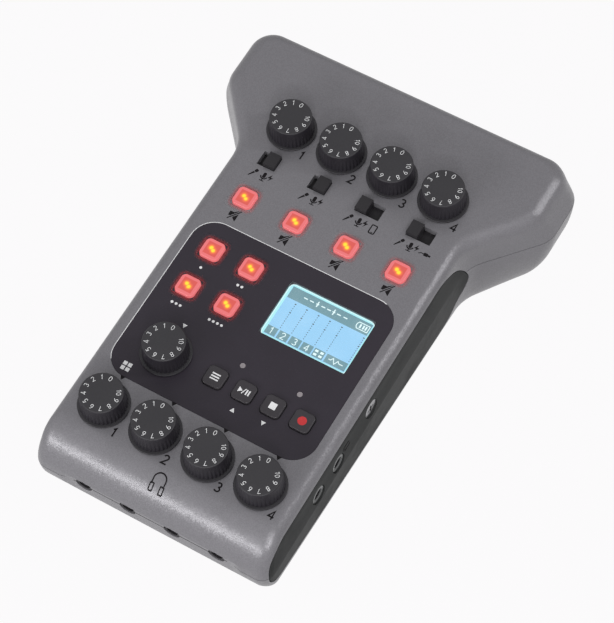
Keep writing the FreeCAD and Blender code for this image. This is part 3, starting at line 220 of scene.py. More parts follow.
def stroke(path: np.ndarray, width: float, low: float, high: float, closed: bool = False) -> Shape:
    """A flat line of even width along a path.

    Formula: a rectangle is carried along the path; at each point it stands across the mean of the
    directions of the two runs that meet there, widened by the mitre.

    Args:
        path: Rows of x and y.
        width: Width of the line.
        low: Height of the underside.
        high: Height of the top.
        closed: Whether the last point joins the first.

    Returns:
        The closed shape.
    """
    path = np.asarray(path, float)
    runs = np.roll(path, -1, axis=0) - path
    if not closed:
        runs[-1] = runs[-2]
    runs /= np.linalg.norm(runs, axis=1)[:, None]
    before = np.roll(runs, 1, axis=0)
    if not closed:
        before[0] = runs[0]
    along = runs + before
    along /= np.linalg.norm(along, axis=1)[:, None]
    spread = width / 2 / np.clip((along * runs).sum(axis=1), 0.4, 1.0)
    across = np.stack([along[:, 1], -along[:, 0]], axis=1) * spread[:, None]
    right, left = path + across, path - across
    rings = [(right, low), (right, high), (left, high), (left, low)]
    grid = np.stack([np.column_stack([side, np.full(len(path), z)]) for side, z in rings], axis=1)
    return skin_loop(grid) if closed else skin_rings(grid[:, ::-1])


def arc(radius: float, start: float, end: float, steps: int = 16) -> np.ndarray:
    """Points on an arc about the origin from one angle to another, in degrees."""
    angle = np.radians(np.linspace(start, end, steps))
    return radius * np.stack([np.cos(angle), np.sin(angle)], axis=1)


def bow(y: float, across: float, up: float, start: float, end: float, steps: int = 12) -> np.ndarray:
    """Points on part of an ellipse over x = 0, with half of its width and height given."""
    return arc(1.0, start, end, steps) * np.array([across, up]) + np.array([0.0, y])


def disc(radius: float, steps: int = 24) -> np.ndarray:
    """Outline of a circle about the origin, counter-clockwise."""
    return arc(radius, 0, 360, steps + 1)[:-1]


def rounded_box(width: float, length: float, corner: float, steps: int = 5) -> np.ndarray:
    """Outline of a rectangle with round corners, centred on the origin.

    Formula: four quarter circles of the corner's radius, each about its own corner centre.

    Args:
        width: Size along x.
        length: Size along y.
        corner: Radius of the corners.
        steps: Points on each corner less one.

    Returns:
        Rows of x and y, counter-clockwise.
    """
    angle = np.radians(np.linspace(0, 90, steps + 1))
    turns = np.concatenate([angle + math.radians(90) * k for k in range(4)])
    sign = np.repeat(np.array([[1, 1], [-1, 1], [-1, -1], [1, -1]]), steps + 1, axis=0)
    centre = sign * np.array([width / 2 - corner, length / 2 - corner])
    return centre + corner * np.stack([np.cos(turns), np.sin(turns)], axis=1)


def clipped(outline: np.ndarray, point: np.ndarray, side: np.ndarray) -> np.ndarray:
    """The part of a convex outline on one side of a line.

    Formula: corners on the wanted side stay, and each run that crosses the line gives the point where
    its signed distance to the line is nothing.

    Args:
        outline: Rows of x and y, counter-clockwise.
        point: A point on the line.
        side: Direction across the line, towards the part that stays.

    Returns:
        Rows of x and y, counter-clockwise; empty if nothing is left.
    """
    reach = (outline - point) @ side
    after, ahead = np.roll(outline, -1, axis=0), np.roll(reach, -1)
    crosses = (reach > 0) != (ahead > 0)
    share = np.where(crosses, reach / np.where(crosses, reach - ahead, 1.0), 0.0)
    both = np.stack([outline, outline + (after - outline) * share[:, None]], axis=1).reshape(-1, 2)
    return both[np.stack([reach > 0, crosses], axis=1).ravel()]


def smooth_step(share: np.ndarray) -> np.ndarray:
    """A soft change from 0 to 1 as a share goes from 0 to 1."""
    share = np.clip(share, 0.0, 1.0)
    return share * share * (3 - 2 * share)


# Flat marks


class Numerals:
    """Plain thin numerals, drawn as even strokes one high and centred on the origin."""

    gap = 0.78
    lift = 0.002

    def __init__(self) -> None:
        """Sets out the strokes of each numeral; a stroke is a path and whether it is closed."""
        hook = [[0.24, 0.5], [0.08, 0.42], [-0.1, 0.24], [-0.22, 0.02]]
        ring = bow(-0.21, 0.27, 0.29, 150, 510, 20)[:-1]
        two = np.concatenate([bow(0.23, 0.26, 0.27, 165, -35), [[-0.28, -0.5], [0.3, -0.5]]])
        five = np.concatenate([[[0.24, 0.5], [-0.18, 0.5], [-0.24, 0.02]], bow(-0.18, 0.28, 0.32, 125, -145)])
        six = [(np.concatenate([hook, bow(-0.21, 0.27, 0.29, 150, 158, 2)]), False), (ring, True)]
        eight = [(bow(0.25, 0.22, 0.25, 0, 360, 21)[:-1], True), (bow(-0.25, 0.27, 0.25, 0, 360, 21)[:-1], True)]
        self.strokes: dict[str, list[tuple[np.ndarray, bool]]] = {
            "0": [(bow(0, 0.29, 0.5, 0, 360, 25)[:-1], True)],
            "1": [(np.array([[-0.16, 0.3], [0.06, 0.5], [0.06, -0.5]]), False)],
            "2": [(two, False)],
            "3": [(bow(0.25, 0.24, 0.25, 150, -90), False), (bow(-0.25, 0.28, 0.25, 90, -150), False)],
            "4": [(np.array([[0.14, -0.5], [0.14, 0.5], [-0.3, -0.2], [0.32, -0.2]]), False)],
            "5": [(five, False)],
            "6": six,
            "7": [(np.array([[-0.28, 0.5], [0.28, 0.5], [-0.08, -0.5]]), False)],
            "8": eight,
            "9": [(-path, closed) for path, closed in six],
        }

    def shape(self, text: str, height: float, low: float, high: float, weight: float) -> Shape:
        """A number as thin strokes.

        Args:
            text: Its numerals.
            height: Height of the numerals in millimetres.
            low: Height of the underside.
            high: Height of the top.
            weight: Width of the strokes as a share of the height.

        Returns:
            The shape, centred on the origin.
        """
        made = []
        for place, sign in enumerate(text):
            shift = np.array([(place - (len(text) - 1) / 2) * self.gap, 0.0])
            for layer, (path, closed) in enumerate(self.strokes[sign]):
                top = high + layer * self.lift
                made.append(stroke((path + shift) * height, weight * height, low, top, closed))
        return joined(made)


NUMERALS = Numerals()


@dataclass(frozen=True)
class Stamp:
    """Draws flat marks between two heights."""

    low: float
    high: float

    def fill(self, outline: Sequence[Sequence[float]]) -> Shape:
        """A mark with a given outline."""
        return prism(np.array(outline, float), self.low, self.high)

    def tile(self, width: float, length: float, corner: float, x: float = 0.0, y: float = 0.0) -> Shape:
        """A round-cornered rectangle about x and y."""
        return self.fill(rounded_box(width, length, corner)).shifted(x, y)

    def sheet(self, x0: float, y0: float, x1: float, y1: float) -> Shape:
        """A rectangle between two corners."""
        return self.fill([[x0, y0], [x1, y0], [x1, y1], [x0, y1]])

    def line(self, path: Sequence[Sequence[float]], width: float, closed: bool = False) -> Shape:
        """A line along a path."""
        return stroke(path, width, self.low, self.high, closed)

    def number(self, text: object, height: float, weight: float = 0.1) -> Shape:
        """A number in plain numerals."""
        return NUMERALS.shape(str(text), height, self.low, self.high, weight)


# Meshes


def crease_normals(points: np.ndarray, faces: np.ndarray, crease: float) -> np.ndarray:
    """Corner normals of a triangle mesh that stay sharp over creases.

    Formula: a corner's normal is the mean of the normals of the triangles round its point that turn
    away from its own triangle by less than the crease angle, weighted by area and corner angle.

    Args:
        points: Rows of x, y and z.
        faces: Rows of three point numbers.
        crease: The largest angle that is shaded smooth, in degrees.

    Returns:
        One unit normal per corner, in the order of the faces.
    """
    corners = points[faces]
    edges = np.roll(corners, -1, axis=1) - corners
    normal = np.cross(edges[:, 0], edges[:, 1])
    area = np.linalg.norm(normal, axis=1)
    normal /= np.maximum(area, TINY)[:, None]
    unit = edges / np.maximum(np.linalg.norm(edges, axis=2), SHORTEST)[:, :, None]
    cosine = -(unit * np.roll(unit, 1, axis=1)).sum(axis=2)
    weight = (area[:, None] * np.arccos(np.clip(cosine, -1, 1))).ravel()
    owner = np.repeat(np.arange(len(faces)), 3)
    order = np.argsort(faces.ravel(), kind="stable")
    start, count = np.unique(faces.ravel()[order], return_index=True, return_counts=True)[1:]
    span = np.repeat(count, count)
    first = np.repeat(np.repeat(start, count), span)
    mine = np.repeat(np.arange(len(order)), span)
    step = np.arange(len(mine)) - np.repeat(np.cumsum(span) - span, span)
    here, there = order[mine], order[first + step]
    close = (normal[owner[here]] * normal[owner[there]]).sum(axis=1) > math.cos(math.radians(crease))
    share = normal[owner[there]] * (weight[there] * close)[:, None]
    total = np.stack([np.bincount(here, share[:, k], len(owner)) for k in range(3)], axis=1)
    length = np.linalg.norm(total, axis=1)[:, None]
    return np.where(length > TINY, total / np.maximum(length, TINY), normal[owner])


def fill_mesh(name: str, shape: Shape) -> bpy.types.Mesh:
    """Writes a shape into a new mesh whose faces are shaded smooth.

    Args:
        name: Name of the mesh.
        shape: The shape, already in metres and in the row frame.

    Returns:
        The mesh, with its UVs if the shape has them.
    """
    mesh = bpy.data.meshes.new(name)
    sizes = np.concatenate([np.full(len(block), block.shape[1]) for block in shape.faces])
    corners = np.concatenate([block.ravel() for block in shape.faces])
    mesh.vertices.add(len(shape.points))
    mesh.vertices.foreach_set("co", np.ascontiguousarray(shape.points, np.float32).ravel())
    mesh.loops.add(len(corners))
    mesh.loops.foreach_set("vertex_index", corners.astype(np.int32))
    mesh.polygons.add(len(sizes))
    starts = np.concatenate([[0], np.cumsum(sizes)[:-1]])
    mesh.polygons.foreach_set("loop_start", starts.astype(np.int32))
    mesh.polygons.foreach_set("loop_total", sizes.astype(np.int32))
    mesh.update(calc_edges=True)
    if shape.uv is not None:
        layer = mesh.uv_layers.new(name="UVMap")
        layer.data.foreach_set("uv", shape.uv[corners].astype(np.float32).ravel())
    mesh.polygons.foreach_set("use_smooth", np.ones(len(sizes), bool))
    return mesh


def show(name: str, mesh: bpy.types.Mesh, finish: str, body: str) -> bpy.types.Object:
    """Adds a finished mesh to the scene on a body.

    Args:
        name: Name of the piece.
        mesh: Its mesh, in metres and in the row frame.
        finish: Name of its finish.
        body: The body that it moves with.

    Returns:
        The new object.
    """
    piece = bpy.data.objects.new(name, mesh)
    bpy.context.scene.collection.objects.link(piece)
    mesh.materials.append(material_of(finish))
    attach(piece, body)
    LOG.info("%s: %d faces on %s", name, len(mesh.polygons), body)
    return piece


def face_piece(name: str, shape: Shape, finish: str, body: str = CASE) -> bpy.types.Object:
    """Adds a piece that was drawn on the control face.

    Args:
        name: Name of the piece.
        shape: The shape in millimetres on the control face.
        finish: Name of its finish.
        body: The body that it moves with.

    Returns:
        The new object.
    """
    mesh = fill_mesh(name, shape.at(FACE.place(shape.points)))
    mesh.set_sharp_from_angle(angle=math.radians(SHARP_EDGE))
    return show(name, mesh, finish, body)


def node_triangles(node: str) -> tuple[np.ndarray, np.ndarray]:
    """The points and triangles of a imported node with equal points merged.

    Args:
        node: Name of the node.

    Returns:
        Rows of points in metres, and rows of three point numbers.
    """
    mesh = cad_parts[node].data
    points = np.empty(len(mesh.vertices) * 3, np.float32)
    mesh.vertices.foreach_get("co", points)
    mesh.calc_loop_triangles()
    faces = np.empty(len(mesh.loop_triangles) * 3, np.int32)
    mesh.loop_triangles.foreach_get("vertices", faces)
    points = points.reshape(-1, 3).astype(float)
    keys = np.round(points * KEY_STEPS).astype(np.int64)
    first, number = np.unique(keys, axis=0, return_index=True, return_inverse=True)[1:]
    faces = number.ravel()[faces].reshape(-1, 3)
    sound = (faces != np.roll(faces, 1, axis=1)).all(axis=1)
    return points[first], faces[sound]


def smooth_copy(
    node: str,
    finish: str,
    body: str = CASE,
    crease: float = 30.0,
    centre: tuple[float, float] | None = None,
    width: float = 1.0,
) -> None:
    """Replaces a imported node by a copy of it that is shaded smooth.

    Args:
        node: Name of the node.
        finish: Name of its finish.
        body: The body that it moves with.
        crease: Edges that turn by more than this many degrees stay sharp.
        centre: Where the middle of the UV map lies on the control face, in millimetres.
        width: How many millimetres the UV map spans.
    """
    points, faces = node_triangles(node)
    uv = None
    if centre is not None:
        cos, sin = FACE.slope()
        away = (points - FACE.place(np.array([[*centre, 0.0]]))[0]) / MM
        uv = np.stack([away[:, 0], away[:, 1] * cos + away[:, 2] * sin], axis=1) / width + 0.5
    mesh = fill_mesh(f"{node}_skin", Shape(points, [faces], uv))
    mesh.normals_split_custom_set(crease_normals(points, faces, crease))
    piece = show(f"{node}_skin", mesh, finish, body)
    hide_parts(node)


def turned_area(first: np.ndarray, second: np.ndarray) -> np.ndarray:
    """Twice the signed area between pairs of flat directions."""
    return first[..., 0] * second[..., 1] - first[..., 1] * second[..., 0]


def draped(shape: Shape, node: str, axis: int) -> Shape:
    """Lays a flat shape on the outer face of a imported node.

    Formula: each point is carried along the axis to the outermost triangle of the node that it meets,
    found from its shares between the triangle's corners, and keeps its own height over that triangle.

    Args:
        shape: The shape in millimetres on the control face; its value along the axis is its height.
        node: Name of the node.
        axis: Which axis the shape is carried along, to the node's face on its high side.

    Returns:
        The shape on the node's face.
    """
    points, faces = node_triangles(node)
    corners = FACE.read(points)[faces]
    flat = [k for k in range(3) if k != axis]
    spots = shape.points[:, flat]
    below, above = corners[:, :, flat].min(axis=1), corners[:, :, flat].max(axis=1)
    corners = corners[((above >= spots.min(axis=0)) & (below <= spots.max(axis=0))).all(axis=1)]
    start, first, second = (corners[:, k][:, flat] for k in range(3))
    span = turned_area(first - start, second - start)
    sound = np.abs(span) > SLIVER
    start, first, second, span = start[sound], first[sound], second[sound], span[sound]
    base, rise, climb = corners[sound][:, :, axis].T
    away = spots[:, None] - start[None]
    to_first = turned_area(away, (second - start)[None]) / span
    to_second = turned_area((first - start)[None], away) / span
    inside = (to_first >= -SLACK) & (to_second >= -SLACK) & (to_first + to_second <= 1 + SLACK)
    reach = base + to_first * (rise - base) + to_second * (climb - base)
    laid = shape.points.copy()
    laid[:, axis] += np.where(inside, reach, -np.inf).max(axis=1)
    return shape.at(laid)


def dress(node: str, finish: str) -> None:
    """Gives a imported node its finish.

    Args:
        node: Name of the node.
        finish: Name of the finish.
    """
    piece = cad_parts[node]
    if not piece.material_slots:
        piece.data.materials.append(material_of(finish))
    for place in piece.material_slots:
        place.material = material_of(finish)
    LOG.info("%s: dressed as %s", node, finish)


# Shader building


@dataclass
class Bench:
    """A node tree under construction, with short ways to add and join its nodes."""

    tree: bpy.types.NodeTree

    def feed(self, source: object, node: bpy.types.Node, name: str | int) -> None:
        """Joins an output, or writes a plain value, to a node's input.

        Args:
            source: The output or the value.
            node: The node.
            name: Name or number of its input.
        """
        if isinstance(source, bpy.types.NodeSocket):
            self.tree.links.new(source, node.inputs[name])
        else:
            node.inputs[name].default_value = source

    def add(self, kind: str, inputs: dict | None = None, **options: object) -> bpy.types.Node:
        """Adds a node.

        Args:
            kind: Its type.
            inputs: What feeds its inputs: outputs or plain values, by name or number.
            options: The node's own options.

        Returns:
            The node.
        """
        node = self.tree.nodes.new(kind)
        for name, value in options.items():
            setattr(node, name, value)
        for name, source in (inputs or {}).items():
            self.feed(source, node, name)
        return node

    def sum_up(self, action: str, first: object, second: object = 0.5) -> object:
        """The result of a sum with two values."""
        return self.add("ShaderNodeMath", {0: first, 1: second}, operation=action).outputs[0]

    def vector(self, action: str, first: object, second: object = (0.0, 0.0, 0.0), result: int = 0) -> object:
        """The result of a sum with two vectors; result 1 is a value."""
        return self.add("ShaderNodeVectorMath", {0: first, 1: second}, operation=action).outputs[result]

    def parts(self, vector: object) -> Sequence[object]:
        """The x, y and z of a vector."""
        return self.add("ShaderNodeSeparateXYZ", {0: vector}).outputs

    def blend(self, share: object, first: object, second: object) -> object:
        """A blend of two colours by a share."""
        return self.add("ShaderNodeMix", {"Factor": share, 6: first, 7: second}, data_type="RGBA").outputs[2]

    def mix(self, share: object, first: object, second: object) -> object:
        """A mix of two shaders by a share."""
        return self.add("ShaderNodeMixShader", {0: share, 1: first, 2: second}).outputs[0]

    def ramp(self, value: object, low: float, high: float, out_low: float, out_high: float) -> object:
        """A value moved softly from one span to another."""
        spans = {"Value": value, "From Min": low, "From Max": high, "To Min": out_low, "To Max": out_high}
        return self.add("ShaderNodeMapRange", spans, interpolation_type="SMOOTHSTEP").outputs[0]

    def noise(self, place: object, scale: object, detail: float = 3.0, rough: float = 0.5) -> object:
        """Soft noise over a place."""
        inputs = {"Vector": place, "Scale": scale, "Detail": detail, "Roughness": rough}
        return self.add("ShaderNodeTexNoise", inputs).outputs["Fac"]


class Effect(Enum):
    """The shared effects, each a node group of its own."""

    GRAIN = "moulded_grain"
    FLAKE = "paint_flake"
    HANDLING = "handling_marks"


class Effects:
    """The node groups of the shared effects, each built once."""

    def __init__(self) -> None:
        """Builds the groups."""
        self.groups = {
            Effect.GRAIN: self.grain(),
            Effect.FLAKE: self.flake(),
            Effect.HANDLING: self.handling(),
        }

    @staticmethod
    def start(effect: Effect, inputs: dict[str, float], outputs: dict[str, str]) -> tuple[Bench, object, object]:
        """Starts a group with a coordinate input.

        Args:
            effect: Which effect.
            inputs: Names and plain values of its number inputs.
            outputs: Names and kinds of its outputs.

        Returns:
            The group's bench, the outputs of its input node, and its output node.
        """
        tree = bpy.data.node_groups.new(effect.value, "ShaderNodeTree")
        tree.interface.new_socket("Place", in_out="INPUT", socket_type="NodeSocketVector")
        for title, value in inputs.items():
            tree.interface.new_socket(title, in_out="INPUT", socket_type="NodeSocketFloat").default_value = value
        for title, kind in outputs.items():
            tree.interface.new_socket(title, in_out="OUTPUT", socket_type=f"NodeSocket{kind}")
        bench = Bench(tree)
        return bench, bench.add("NodeGroupInput").outputs, bench.add("NodeGroupOutput")

    def grain(self) -> bpy.types.NodeTree:
        """Fine spark-eroded grain of moulded plastic with slow changes of tone.

        Returns:
            The group's tree.
        """
        bench, given, result = self.start(Effect.GRAIN, {"Scale": 900.0}, {"Tone": "Float", "Height": "Float"})
        fine = bench.noise(given["Place"], given["Scale"], 2.0, 0.6)
        slow = bench.noise(given["Place"], bench.sum_up("MULTIPLY", given["Scale"], 0.05))
        halves = (bench.sum_up("MULTIPLY", part, 0.5) for part in (fine, slow))
        bench.feed(bench.sum_up("ADD", *halves), result, "Tone")
        bench.feed(fine, result, "Height")
        return bench.tree

    def flake(self) -> bpy.types.NodeTree:
        """Tiny flakes of metallic paint, each tilted its own way.

        Returns:
            The group's tree.
        """
        inputs = {"Scale": 3000.0, "Tilt": 0.2}
        bench, given, result = self.start(Effect.FLAKE, inputs, {"Tone": "Float", "Lean": "Vector"})
        places = {"Vector": given["Place"], "Scale": given["Scale"]}
        cells = bench.add("ShaderNodeTexVoronoi", places, feature="F1").outputs["Color"]
        bench.feed(bench.add("ShaderNodeSeparateColor", {0: cells}).outputs[1], result, "Tone")
        centred = bench.vector("SUBTRACT", cells, (0.5, 0.5, 0.5))
        leant = bench.add("ShaderNodeVectorMath", {0: centred, "Scale": given["Tilt"]}, operation="SCALE")
        normal = bench.add("ShaderNodeNewGeometry").outputs["Normal"]
        total = bench.vector("ADD", normal, leant.outputs[0])
        bench.feed(bench.vector("NORMALIZE", total), result, "Lean")
        return bench.tree

    def handling(self) -> bpy.types.NodeTree:
        """Faint smears and dust that change the gloss.

        Returns:
            The group's tree.
        """
        bench, given, result = self.start(Effect.HANDLING, {"Scale": 60.0}, {"Smear": "Float", "Dust": "Float"})
        smear = bench.noise(given["Place"], given["Scale"], 4.0, 0.65)
        bench.feed(bench.ramp(smear, 0.35, 0.75, 0.0, 1.0), result, "Smear")
        dust = bench.noise(given["Place"], bench.sum_up("MULTIPLY", given["Scale"], 45.0), 1.0)
        bench.feed(bench.ramp(dust, 0.68, 0.8, 0.0, 1.0), result, "Dust")
        return bench.tree


EFFECTS = Effects()


class Surface(Bench):
    """A material under construction, with its main shader and its object coordinates."""

    def __init__(self, made: bpy.types.Material) -> None:
        """Starts on a new material.

        Args:
            made: The material.
        """
        made.use_nodes = True
        super().__init__(made.node_tree)
        self.shader = self.tree.nodes["Principled BSDF"]
        self.place = self.add("ShaderNodeTexCoord").outputs["Object"]

    def fill(self, inputs: dict[str, object]) -> None:
        """Feeds the main shader's inputs."""
        for name, source in inputs.items():
            self.feed(source, self.shader, name)

    def effect(self, effect: Effect, scale: float, place: object = None) -> object:
        """The outputs of a shared effect, over the object coordinates or another place."""
        inputs = {"Place": self.place if place is None else place, "Scale": scale}
        return self.add("ShaderNodeGroup", node_tree=EFFECTS.groups[effect], inputs=inputs).outputs

    def from_middle(self) -> object:
        """The way from the middle of the piece's own UV map."""
        return self.vector("SUBTRACT", self.add("ShaderNodeUVMap", uv_map="UVMap").outputs[0], (0.5, 0.5, 0.0))

    def tint(self, base: Colour, tone: object, swing: float) -> object:
        """A colour that a tone, around a half, makes darker or lighter by up to a share."""
        dark, pale = (tuple(min(c * share, 1.0) for c in base) + (1.0,) for share in (1 - swing, 1 + swing))
        return self.blend(self.ramp(tone, 0.3, 0.7, 0.0, 1.0), dark, pale)

    def roughen(self, tone: object, rough: float, swing: float) -> None:
        """Gives the shader a roughness that a tone shifts."""
        self.fill({"Roughness": self.ramp(tone, 0.0, 1.0, rough - swing, rough + swing)})

    def bump(self, height: object, depth_mm: float, strength: float = 0.5) -> None:
        """Gives the shader a bump of a depth in millimetres."""
        inputs = {"Strength": strength, "Distance": depth_mm * MM, "Height": height}
        self.fill({"Normal": self.add("ShaderNodeBump", inputs).outputs[0]})


# Finishes


@dataclass(frozen=True)
class Finish:
    """A finish with its name and main colour; each kind adds its own nodes."""

    name: str
    colour: Colour

    def material(self) -> bpy.types.Material:
        """Builds the material.

        Returns:
            The material.
        """
        made = bpy.data.materials.new(self.name)
        self.paint(Surface(made))
        return made

    def paint(self, on: Surface) -> None:
        """Adds the nodes of the finish."""
        raise NotImplementedError


@dataclass(frozen=True)
class FlakePaint(Finish):
    """Satin metallic paint with fine flakes."""

    rough: float = 0.32
    metallic: float = 0.18
    shine: float = 0.3
    flake_scale: float = 4300.0
    tilt: float = 0.1

    def paint(self, on: Surface) -> None:
        """Adds the flakes' tone and lean.

        Args:
            on: The material under construction.
        """
        flake = on.effect(Effect.FLAKE, self.flake_scale)
        on.feed(self.tilt, flake["Lean"].node, "Tilt")
        on.fill({"Base Color": on.tint(self.colour, flake["Tone"], 0.07), "Normal": flake["Lean"]})
        on.fill({"Metallic": self.metallic, "Specular IOR Level": self.shine})
        on.roughen(on.effect(Effect.HANDLING, 55.0)["Smear"], self.rough, 0.008)


@dataclass(frozen=True)
class MouldedPlastic(Finish):
    """Moulded plastic with a fine grain."""

    rough: float = 0.5
    grain_scale: float = 1500.0
    grain_depth: float = 0.01
    coat: float = 0.0
    shine: float = 0.25

    def paint(self, on: Surface) -> None:
        """Adds grain, dust and smears.

        Args:
            on: The material under construction.
        """
        grain, marks = on.effect(Effect.GRAIN, self.grain_scale), on.effect(Effect.HANDLING, 70.0)
        dust = tuple(c * 0.8 + 0.05 for c in self.colour) + (1.0,)
        clean = on.tint(self.colour, grain["Tone"], 0.08)
        on.fill({"Base Color": on.blend(on.sum_up("MULTIPLY", marks["Dust"], 0.3), clean, dust)})
        on.fill({"Coat Weight": self.coat, "Specular IOR Level": self.shine})
        on.roughen(marks["Smear"], self.rough, 0.05)
        on.bump(grain["Height"], self.grain_depth)


@dataclass(frozen=True)
class KnobPlastic(Finish):
    """Moulded plastic of a knob, with painted shade that makes its upright sides darker than its top."""

    # Colour of the upright sides, darker than the top as painted shade.
    side: Colour
    rough: float = 0.5
    shine: float = 0.25

    def paint(self, on: Surface) -> None:
        """Adds grain and smears, and painted shade: darker sides where the surface stands upright.

        Args:
            on: The material under construction.
        """
        grain, marks = on.effect(Effect.GRAIN, 1700.0), on.effect(Effect.HANDLING, 70.0)
        facing = on.parts(on.add("ShaderNodeNewGeometry").outputs["Normal"])[2]
        top, side = on.tint(self.colour, grain["Tone"], 0.08), on.tint(self.side, grain["Tone"], 0.12)
        # Painted shade: the colour goes from the top's colour to the darker side colour as the surface stands
        # upright.
        on.fill({"Base Color": on.blend(on.ramp(facing, 0.55, 0.93, 1.0, 0.0), top, side)})
        on.fill({"Specular IOR Level": self.shine})
        on.roughen(marks["Smear"], self.rough, 0.05)
        on.bump(grain["Height"], 0.008)


@dataclass(frozen=True)
class Metal(Finish):
    """Bare or plated metal with fine drawing lines."""

    rough: float = 0.3

    def paint(self, on: Surface) -> None:
        """Adds the drawing lines along z.

        Args:
            on: The material under construction.
        """
        inputs = {"Vector": on.place, "Scale": (1.0, 1.0, 14.0)}
        lines = on.effect(Effect.GRAIN, 700.0, on.add("ShaderNodeMapping", inputs, vector_type="POINT").outputs[0])
        on.fill({"Base Color": on.tint(self.colour, lines["Tone"], 0.1), "Metallic": 1.0})
        on.roughen(on.effect(Effect.HANDLING, 120.0)["Smear"], self.rough, 0.07)
        on.bump(lines["Height"], 0.004, 0.4)


@dataclass(frozen=True)
class Ink(Finish):
    """Printed ink, slightly uneven."""

    rough: float = 0.55
    shine: float = 0.08

    def paint(self, on: Surface) -> None:
        """Adds the uneven tone.

        Args:
            on: The material under construction.
        """
        tone = on.effect(Effect.GRAIN, 2600.0)["Tone"]
        on.fill({"Base Color": on.tint(self.colour, tone, 0.1), "Specular IOR Level": self.shine})
        on.roughen(tone, self.rough, 0.08)


@dataclass(frozen=True)
class LitInk(Finish):
    """A lit segment of the display."""

    def paint(self, on: Surface) -> None:
        """Adds the light and a dark ground under it.

        Args:
            on: The material under construction.
        """
        tone = on.effect(Effect.GRAIN, 1800.0)["Tone"]
        ground = tuple(c * 0.05 for c in self.colour)
        on.fill({"Base Color": on.tint(ground, tone, 0.1)})
        on.fill({"Emission Color": on.tint(self.colour, tone, 0.02), "Emission Strength": 1.0})
        on.roughen(tone, 0.5, 0.05)


@dataclass(frozen=True)
class LitCap(Finish):
    """Translucent red cap with a yellow lamp under its middle; reads the cap's UV map."""

    inner: Colour = (0.62, 0.085, 0.068)
    flame: Colour = (0.95, 0.23, 0.04)
    lamp: Colour = (1.0, 0.8, 0.02)
    ground: Colour = (0.1, 0.012, 0.012)
    strength: float = 0.95
    lobe: float = 0.075
    slant: float = -0.7

    def paint(self, on: Surface) -> None:
        """Adds the pale rim, the red field and the two lobes of the lamp.

        Args:
            on: The material under construction.
        """
        grain, shift = on.effect(Effect.GRAIN, 900.0), on.from_middle()
        across, along = on.parts(on.vector("ABSOLUTE", shift))[:2]
        square = on.sum_up("MAXIMUM", across, along)
        middles = [(side * self.lobe, side * self.lobe * self.slant, 0.0) for side in (1.0, -1.0)]
        nearest = on.sum_up("MINIMUM", *(on.vector("DISTANCE", shift, middle, 1) for middle in middles))
        away = on.sum_up("ADD", nearest, on.sum_up("MULTIPLY", grain["Tone"], 0.1))
        lit = self.colour + (1.0,)
        layers = ((square, 0.32, 0.355, self.inner), (away, 0.12, 0.29, self.flame), (away, 0.1, 0.18, self.lamp))
        for reach, near, far, colour in layers:
            lit = on.blend(on.ramp(reach, near, far, 1.0, 0.0), lit, colour + (1.0,))
        on.fill({"Emission Color": lit, "Emission Strength": self.strength})
        on.fill({"Base Color": on.tint(self.ground, grain["Tone"], 0.1)})
        on.roughen(grain["Tone"], 0.4, 0.05)
        on.bump(grain["Height"], 0.01, 0.3)


@dataclass(frozen=True)
class CapGlow(Finish):
    """Red light that a lit cap throws on the face round it; reads the ring's UV map."""

    share: float = 0.28
    start: float = 0.24
    end: float = 0.5
    strength: float = 0.6

    def paint(self, on: Surface) -> None:
        """Adds the light, which fades outwards along a rounded square.

        Args:
            on: The material under construction.
        """
        tone = on.effect(Effect.GRAIN, 1500.0)["Tone"]
        sides = on.parts(on.vector("ABSOLUTE", on.from_middle()))[:2]
        reach = on.sum_up("POWER", on.sum_up("ADD", *(on.sum_up("POWER", side, 4.0) for side in sides)), 0.25)
        on.fill({"Alpha": on.ramp(reach, self.start, self.end, self.share, 0.0)})
        on.fill({"Base Color": on.tint(self.colour, tone, 0.1)})
        on.fill({"Emission Color": on.tint(self.colour, tone, 0.05), "Emission Strength": self.strength})
        on.roughen(tone, 0.45, 0.05)


@dataclass(frozen=True)
class ClearWindow(Finish):
    """Clear window of the display."""

    def paint(self, on: Surface) -> None:
        """Adds the faint smears that show on it.

        Args:
            on: The material under construction.
        """
        smear = on.effect(Effect.HANDLING, 90.0)["Smear"]
        on.fill({"Base Color": on.tint(self.colour, smear, 0.02), "Alpha": on.ramp(smear, 0.0, 1.0, 0.03, 0.05)})
        on.roughen(smear, 0.08, 0.03)


